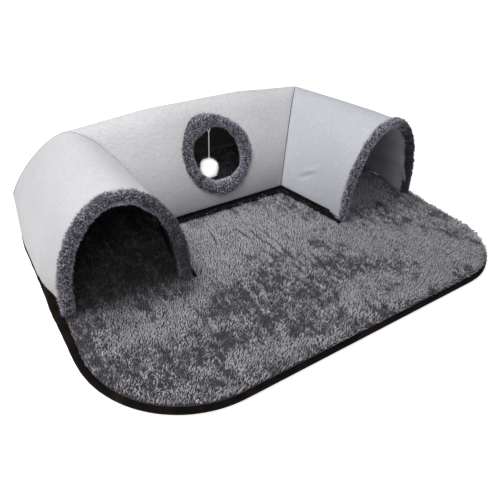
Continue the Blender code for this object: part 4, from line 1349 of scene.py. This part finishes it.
def mouth_roll(section, radius, seed):
    grid = wall_grid(section, np.array([-0.004, 0.0, 0.004]), turn_steps(130, feet=5))
    normals = outwards(section, grid)[1]
    path = grid[1] - normals * WALL / 2
    plush_roll(section + "_mouth_roll", path, normals, radius, section + "_mouth_rim", False, seed)


LEFT_ROLL_RADIUS, RIGHT_ROLL_RADIUS = 0.0138, 0.0118
WINDOW_STEPS = 120
mouth_roll("left", LEFT_ROLL_RADIUS, 41)
mouth_roll("right", RIGHT_ROLL_RADIUS, 51)
ring_path, ring_normals = back_wall.outline(WINDOW_STEPS, 0.0, WALL / 2)
plush_roll("window_roll", ring_path, ring_normals, ring_radius(WINDOW_STEPS), "window_rim", True, 61)

# %% [markdown]
# ## Seams
#
# Where two covers meet, the stitching shows as a thin dark line in the groove. Each seam is a
# fine cord laid along the mitre, a little below the surface.

# %% Seam lines
SEAM_DEPTH = 0.0012
SEAM_RADIUS = 0.0007


def thread_finish(name, dark, light, painted_glow=0.0):
    # Its emission, when above 0, is painted light that makes the thread glow.
    thread = Finish(name, roughness=0.8, emission_color=WHITE, emission_strength=painted_glow)
    twist = thread.wave("DIAGONAL", 260.0)
    return thread.finish(colour=thread.blend(twist * 0.6 + thread.grain(300) * 0.4, dark, light),
                         height=twist, distance=0.0002)


seam_thread = thread_finish("seam_thread", (0.09, 0.09, 0.10), (0.17, 0.17, 0.18))


def seam(name, place):
    turns = turn_steps(110, hem=4)
    line = wall_grid("back", np.array([place * 0.999, place]), turns, hem=True)[1]
    slope = np.gradient(line[:, 1:], axis=0)
    normals = unit(np.stack([np.zeros(len(turns)), -slope[:, 1], slope[:, 0]], axis=-1))
    if normals[len(turns) // 2, 2] < 0:
        normals = -normals
    grid, _ = tube(line - normals * SEAM_DEPTH, normals, SEAM_RADIUS, 6)
    tube_piece(name, grid, seam_thread, "tunnel")


seam("left_seam", -CORNER_X)
seam("right_seam", CORNER_X)

# %% [markdown]
# ## The mat's binding
#
# A folded tape closes the mat's edge. It is a ribbed tape in near-black, full where it goes over
# the padding, and sewn through near its upper edge. The ribs run across it and are too fine for
# geometry, so they are a wave in the finish. The fold itself is a real rounded profile.

# %% Binding
def binding_finish():
    tape = Finish("ribbed_tape", roughness=0.85, specular_ior_level=0.08)
    ribs = tape.wave("X", 260.0, 0.6)
    wear = tape.window(tape.grain(40, 4), 0.45, 0.75)
    colour = tape.blend(wear * 0.5 + ribs * 0.25, (0.0035, 0.0026, 0.0022), (0.026, 0.018, 0.013))
    return tape.finish(colour=colour, height=ribs, distance=0.0004, strength=0.6)


BINDING_TOP = float(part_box("mat_edge_binding")[1].z)
BINDING_FLOOR = 0.0004
BINDING_DEPTH = 0.009
HEM_LIP = 0.0042
# The fold's profile, from its lower lap round to its upper one: shares of the depth and the height
FOLD_PROFILE = ((0.95, 0.0), (0.45, 0.0), (0.12, 0.06), (-0.04, 0.25), (-0.1, 0.50), (-0.04, 0.76),
                (0.12, 0.95), (0.36, 1.06), (0.60, 1.04), (0.80, 0.93), (0.98, 0.84), (0.98, 0.5))


def edge_binding():
    rings = []
    for off, up in FOLD_PROFILE:
        lip = HEM_LIP * under_hem(edge_line) * (0.0 < up < 0.3)
        line = inset(edge_line, off * BINDING_DEPTH + wider_lap(edge_line) * max(0, off - 0.3) / 0.68 - lip)
        rings.append(at_height(line, BINDING_FLOOR + up * (BINDING_TOP - BINDING_FLOOR)))
    grid = np.stack(rings, axis=1)
    ripple = soft_noise(grid * [60, 60, 20], 71) * 0.0005
    grid[..., :2] += outward(edge_line)[:, None] * ripple[..., None]
    tube_piece("edge_binding", grid, binding_finish(), "mat", ["mat_edge_binding"], closed=True)


edge_binding()

# %% [markdown]
# ## The zip
#
# A coil zip joins the tunnel to the mat along the inner base. Each half is a tape with a nylon
# coil sewn to its edge. The coil is one long helix, flattened where it is pressed. It replaces the
# solid row of teeth. The tapes follow further down, with the other small soft pieces.

# %% Zip
COIL_PITCH = 0.0016
COIL_WIRE = 0.00032
COIL_STEPS = 8
ROW_HALF = 0.0011
ROW_OFF_WALL = 0.0024
ROW_GAP = 0.0012
SHELL_ROW_OFF = ROW_OFF_WALL + ROW_HALF
MAT_ROW_OFF = SHELL_ROW_OFF + ROW_HALF + ROW_GAP + ROW_HALF
SHELL_ROW_START = 0.0362


def zip_finish():
    tape = Finish("zip_tape", roughness=0.85, specular_ior_level=0.08)
    weave = tape.wave("DIAGONAL", 300.0)
    colour = tape.blend(weave * 0.6 + tape.grain(80) * 0.4, (0.002, 0.002, 0.0025), (0.010, 0.010, 0.011))
    return tape.finish(colour=colour, height=weave, distance=0.0003, strength=0.6)


def coil_finish():
    nylon = Finish("zip_nylon", roughness=0.5, specular_ior_level=0.15)
    specks = nylon.grain(500, 2)
    return nylon.finish(colour=nylon.blend(specks, (0.003, 0.003, 0.004), (0.010, 0.010, 0.011)),
                        roughness=specks * 0.3 + 0.3)


def inner_base(node):
    """The plan line of a row, from the left collar round the inner base to the right one."""
    off = SHELL_ROW_OFF if node == "zip_shell_row" else MAT_ROW_OFF
    run = unit(CORNER_FOOT - COLLAR_FOOT)
    normal = np.array([run[1], -run[0]])
    mitre = unit(normal + BACK_ACROSS)
    left_end = right_start = COLLAR_FOOT + normal * off
    left_corner = CORNER_FOOT + mitre * off / (mitre @ normal)
    if node == "zip_shell_row":
        right_start = right_start + run * (SHELL_ROW_START - COLLAR)
    flip = np.array([-1, 1])
    return np.array([left_end, left_corner, left_corner * flip, right_start * flip])


def coil(name, node, body, finish):
    """A flattened helix along a row's path."""
    low, high = (corner.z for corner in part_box(node))
    half_tall = (high - low) / 2 - COIL_WIRE
    path = inner_base(node)
    lengths = lengths_along(path)
    phase = np.arange(int(lengths[-1] / COIL_PITCH) * COIL_STEPS) * 2 * np.pi / COIL_STEPS
    at = np.interp(phase, [0, phase[-1]], [0, lengths[-1]])
    plan = np.stack([np.interp(at, lengths, path[:, k]) for k in range(2)], axis=-1)
    tangent = unit(np.gradient(plan, axis=0))
    side = np.stack([-tangent[:, 1], tangent[:, 0]], axis=-1)
    plan = plan + side * (np.cos(phase) * (ROW_HALF - COIL_WIRE))[:, None]
    line = at_height(plan, (low + high) / 2 + np.sin(phase) * half_tall)
    grid, _ = tube(line, np.tile([0.02, 0.01, 1.0], (len(line), 1)), COIL_WIRE, 5)
    tube_piece(name, grid, finish, body, [node])


zip_tape, zip_nylon = zip_finish(), coil_finish()
coil("zip_mat_coil", "zip_mat_row", "mat", zip_nylon)
coil("zip_shell_coil", "zip_shell_row", "tunnel", zip_nylon)

# %% [markdown]
# ## The ball and its string
#
# The ball is a fluffy pompom: fibres of one length that stand out from a small core in every
# direction. It is made as the plush is, with longer and slimmer clumps on a core that isn't quite
# round. The string is a twisted cotton thread.

# %% Pompom
BALL_SHAPE = np.array([0.96, 0.96, 1.07])
BALL_CLUMPS = 2600
BALL_CORE_TONE = 0.5
BALL_PILE = 0.0050
BALL_CORE_DEPTH, BALL_ROOT_DEPTH = 0.0036, 0.0041
BALL_ROWS, BALL_COLUMNS = 24, 36


def fibonacci_sphere(count):
    index = np.arange(count) + 0.5
    z = 1 - 2 * index / count
    turn = index * np.pi * (1 + 5 ** 0.5)
    flat = np.sqrt(1 - z * z)
    return np.stack([flat * np.cos(turn), flat * np.sin(turn), z], axis=-1)


def ball_surface(outs, depth):
    """Points of the ball that far below its surface. It was trimmed by hand, so it has lumps."""
    low, high = corners_of("toy_ball")
    lumps = 0.95 + 0.13 * soft_noise(outs * 1.7, 81)
    return (low + high) / 2 + outs * BALL_SHAPE * ((high[2] - low[2]) / 2 - depth) * lumps[..., None]


def pompom():
    turn = np.linspace(0, np.pi, BALL_ROWS)[:, None]
    around = ring_turns(BALL_COLUMNS)[None]
    ball = at_height(np.stack([np.sin(turn) * np.cos(around), np.sin(turn) * np.sin(around)], axis=-1),
                     np.cos(turn))
    core = piece("pompom_core", ball_surface(ball, BALL_CORE_DEPTH),
                 grid_faces(BALL_ROWS, BALL_COLUMNS, wrap_columns=True), ball_pile, "toy",
                 ["toy_ball"])
    mark(core, "tone", BALL_CORE_TONE)
    rng = np.random.default_rng(82)
    outs = fibonacci_sphere(BALL_CLUMPS)
    roots = ball_surface(outs, BALL_ROOT_DEPTH)
    lean = rng.normal(0, 0.0011, roots.shape)
    tall = BALL_PILE + 0.0012 * rng.uniform(-1, 1, len(roots))
    tone = 0.75 + rng.normal(0, 0.15, len(roots))
    wide = np.full(len(roots), 0.0022)
    pile = clumps("pompom_pile", roots, outs, lean, tall, wide, tone, ball_pile, "toy", 83)
    return core, pile


# %% String
STRING_RADIUS = 0.0011
STRING_POINTS = 20
# The string glows a little, as painted light, so that it reads as white.
STRING_PAINTED_GLOW = 0.25
string_thread = thread_finish("string_thread", (0.70, 0.70, 0.69), (0.95, 0.95, 0.94), STRING_PAINTED_GLOW)


def string_cord(ball):
    """The string, straight down from its eye to the ball that hangs on it."""
    low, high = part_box("toy_string")
    top = Vector(((low.x + high.x) / 2, (low.y + high.y) / 2, high.z))
    end = Vector((top.x, top.y, low.z))
    curve = bpy.data.curves.new("toy_string_cord", "CURVE")
    curve.dimensions = "3D"
    curve.bevel_depth = STRING_RADIUS
    curve.bevel_resolution = 3
    curve.use_fill_caps = True
    curve.materials.append(string_thread)
    route = curve.splines.new("POLY")
    route.points.add(STRING_POINTS - 1)
    for k, point in enumerate(route.points):
        point.co = (*top.lerp(end, k / (STRING_POINTS - 1)), 1.0)
    string = placed("toy_string_cord", curve)
    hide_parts("toy_string")
    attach(string, "toy")


string_cord(list(pompom()))

# %% [markdown]
# ## Small soft pieces
#
# The zip's tapes, the loop that the toy hangs from and the eye in its string are thin cloth and
# cord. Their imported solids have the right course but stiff, even faces. Each is copied, cut into
# small faces and moved by a fine noise along its normals, so it lies as cloth does: nearly flat,
# never quite. The cloth under the mat is a sheet of its own, laid on the binding's lower lap.

# %% Tapes, loop and eye
SPLITTING_PASSES = 7


def softened(name, node, finish, body, longest, unevenness, seed):
    """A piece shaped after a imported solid, with small faces and a soft unevenness."""
    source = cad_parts[node]
    form = bmesh.new()
    form.from_mesh(source.data)
    form.transform(source.matrix_world)
    bmesh.ops.remove_doubles(form, verts=form.verts, dist=1e-6)
    for _ in range(SPLITTING_PASSES):
        long_edges = [edge for edge in form.edges if edge.calc_length() > longest]
        if not long_edges:
            break
        bmesh.ops.subdivide_edges(form, edges=long_edges, cuts=1)
    bmesh.ops.triangulate(form, faces=[face for face in form.faces if len(face.verts) > 4])
    form.normal_update()
    points = np.array([vertex.co for vertex in form.verts])
    normals = np.array([vertex.normal for vertex in form.verts])
    form.verts.index_update()
    faces = [[vertex.index for vertex in face.verts] for face in form.faces]
    form.free()
    points = points + normals * (soft_noise(points * 90, seed) * unevenness)[:, None]
    return piece(name, points, faces, finish, body, [node])


for node, name, finish, slot, body, longest, unevenness, seed in (
        ("zip_mat_tape", "zip_mat_tape_cloth", zip_tape, "zip", "mat", 0.008, 0.00015, 91),
        ("zip_shell_tape", "zip_shell_tape_cloth", zip_tape, "zip", "tunnel", 0.008, 0.00015, 92),
        ("toy_hanging_loop", "toy_sewn_loop", string_thread, "string", "tunnel", 0.0012, 0.00010, 93),
        ("toy_string_eye", "toy_knotted_eye", string_thread, "string", "toy_eye", 0.0012, 0.00010, 94)):
    softened(name, node, finish, body, longest, unevenness, seed)

# %% Cloth under the mat
FELT_RINGS = 24
FELT_SAG = 0.00012
FELT_SKIN = 0.0002


def felt_finish():
    felt = Finish("black_felt", roughness=0.9)
    dots = felt.pores(160.0)
    colour = felt.blend(dots * 0.5 + felt.grain(300) * 0.5, (0.012, 0.012, 0.013), (0.05, 0.05, 0.052))
    return felt.finish(colour=colour, height=dots, distance=0.0004)


def base_cloth():
    """The felt under the mat: two layers of rings, closed round the edge and along the spine."""
    low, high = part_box("mat_base_cloth")
    line = resample(mat_outline, 0.010)
    ring = inset(line, (float(np.ptp(line[:, 0])) - (high.x - low.x)) / 2)
    plan = rings_to_spine(ring, FELT_RINGS)
    sag = soft_noise(at_height(plan) * 40, 95) * FELT_SAG
    layers = [at_height(plan, z + sag).reshape(-1, 3) for z in (high.z - FELT_SKIN, low.z + FELT_SKIN)]
    count, shift = len(ring), FELT_RINGS * len(ring)
    faces = grid_faces(FELT_RINGS, count, wrap_columns=True)
    rim = [[k, (k + 1) % count, (k + 1) % count + shift, k + shift] for k in range(count)]
    spine = [shift - count + k for k in range(count)]
    made = piece("mat_base_felt", np.concatenate(layers), faces[:, ::-1].tolist() + (faces + shift).tolist()
                 + rim + [spine, [k + shift for k in spine[::-1]]], felt_finish(), "mat",
                 ["mat_base_cloth"])


base_cloth()

# %% [markdown]
# ## What stays as packed
#
# The slider, its pull, the stops and the hidden foams keep their solids and get a finish. The
# slider is a small die casting in black lacquer, which is worn in spots. The foam has open pores.

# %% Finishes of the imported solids
def lacquer_finish():
    metal = Finish("black_lacquer", metallic=0.6, roughness=0.35, coat_weight=0.3)
    worn = metal.window(metal.grain(350, 4), 0.55, 0.75)
    return metal.finish(colour=metal.blend(worn, (0.02, 0.02, 0.022), (0.16, 0.155, 0.15)),
                        roughness=worn * 0.25 + 0.3, height=metal.grain(900), distance=0.0001)


def foam_finish():
    foam = Finish("open_foam", roughness=0.95)
    pores = foam.pores(500.0)
    return foam.finish(colour=foam.blend(pores, (0.45, 0.43, 0.36), (0.78, 0.76, 0.69)), height=pores,
                       distance=0.0006)


finished = ((lacquer_finish(), ("zip_slider", "zip_pull", "zip_left_stop", "zip_right_stop")),
            (foam_finish(), ("mat_foam_pad", "left_foam", "back_foam", "right_foam")))
for finish, nodes in finished:
    for node in nodes:
        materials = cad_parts[node].data.materials
        materials.clear()
        materials.append(finish)
    print(finish.name, "on", ", ".join(nodes))
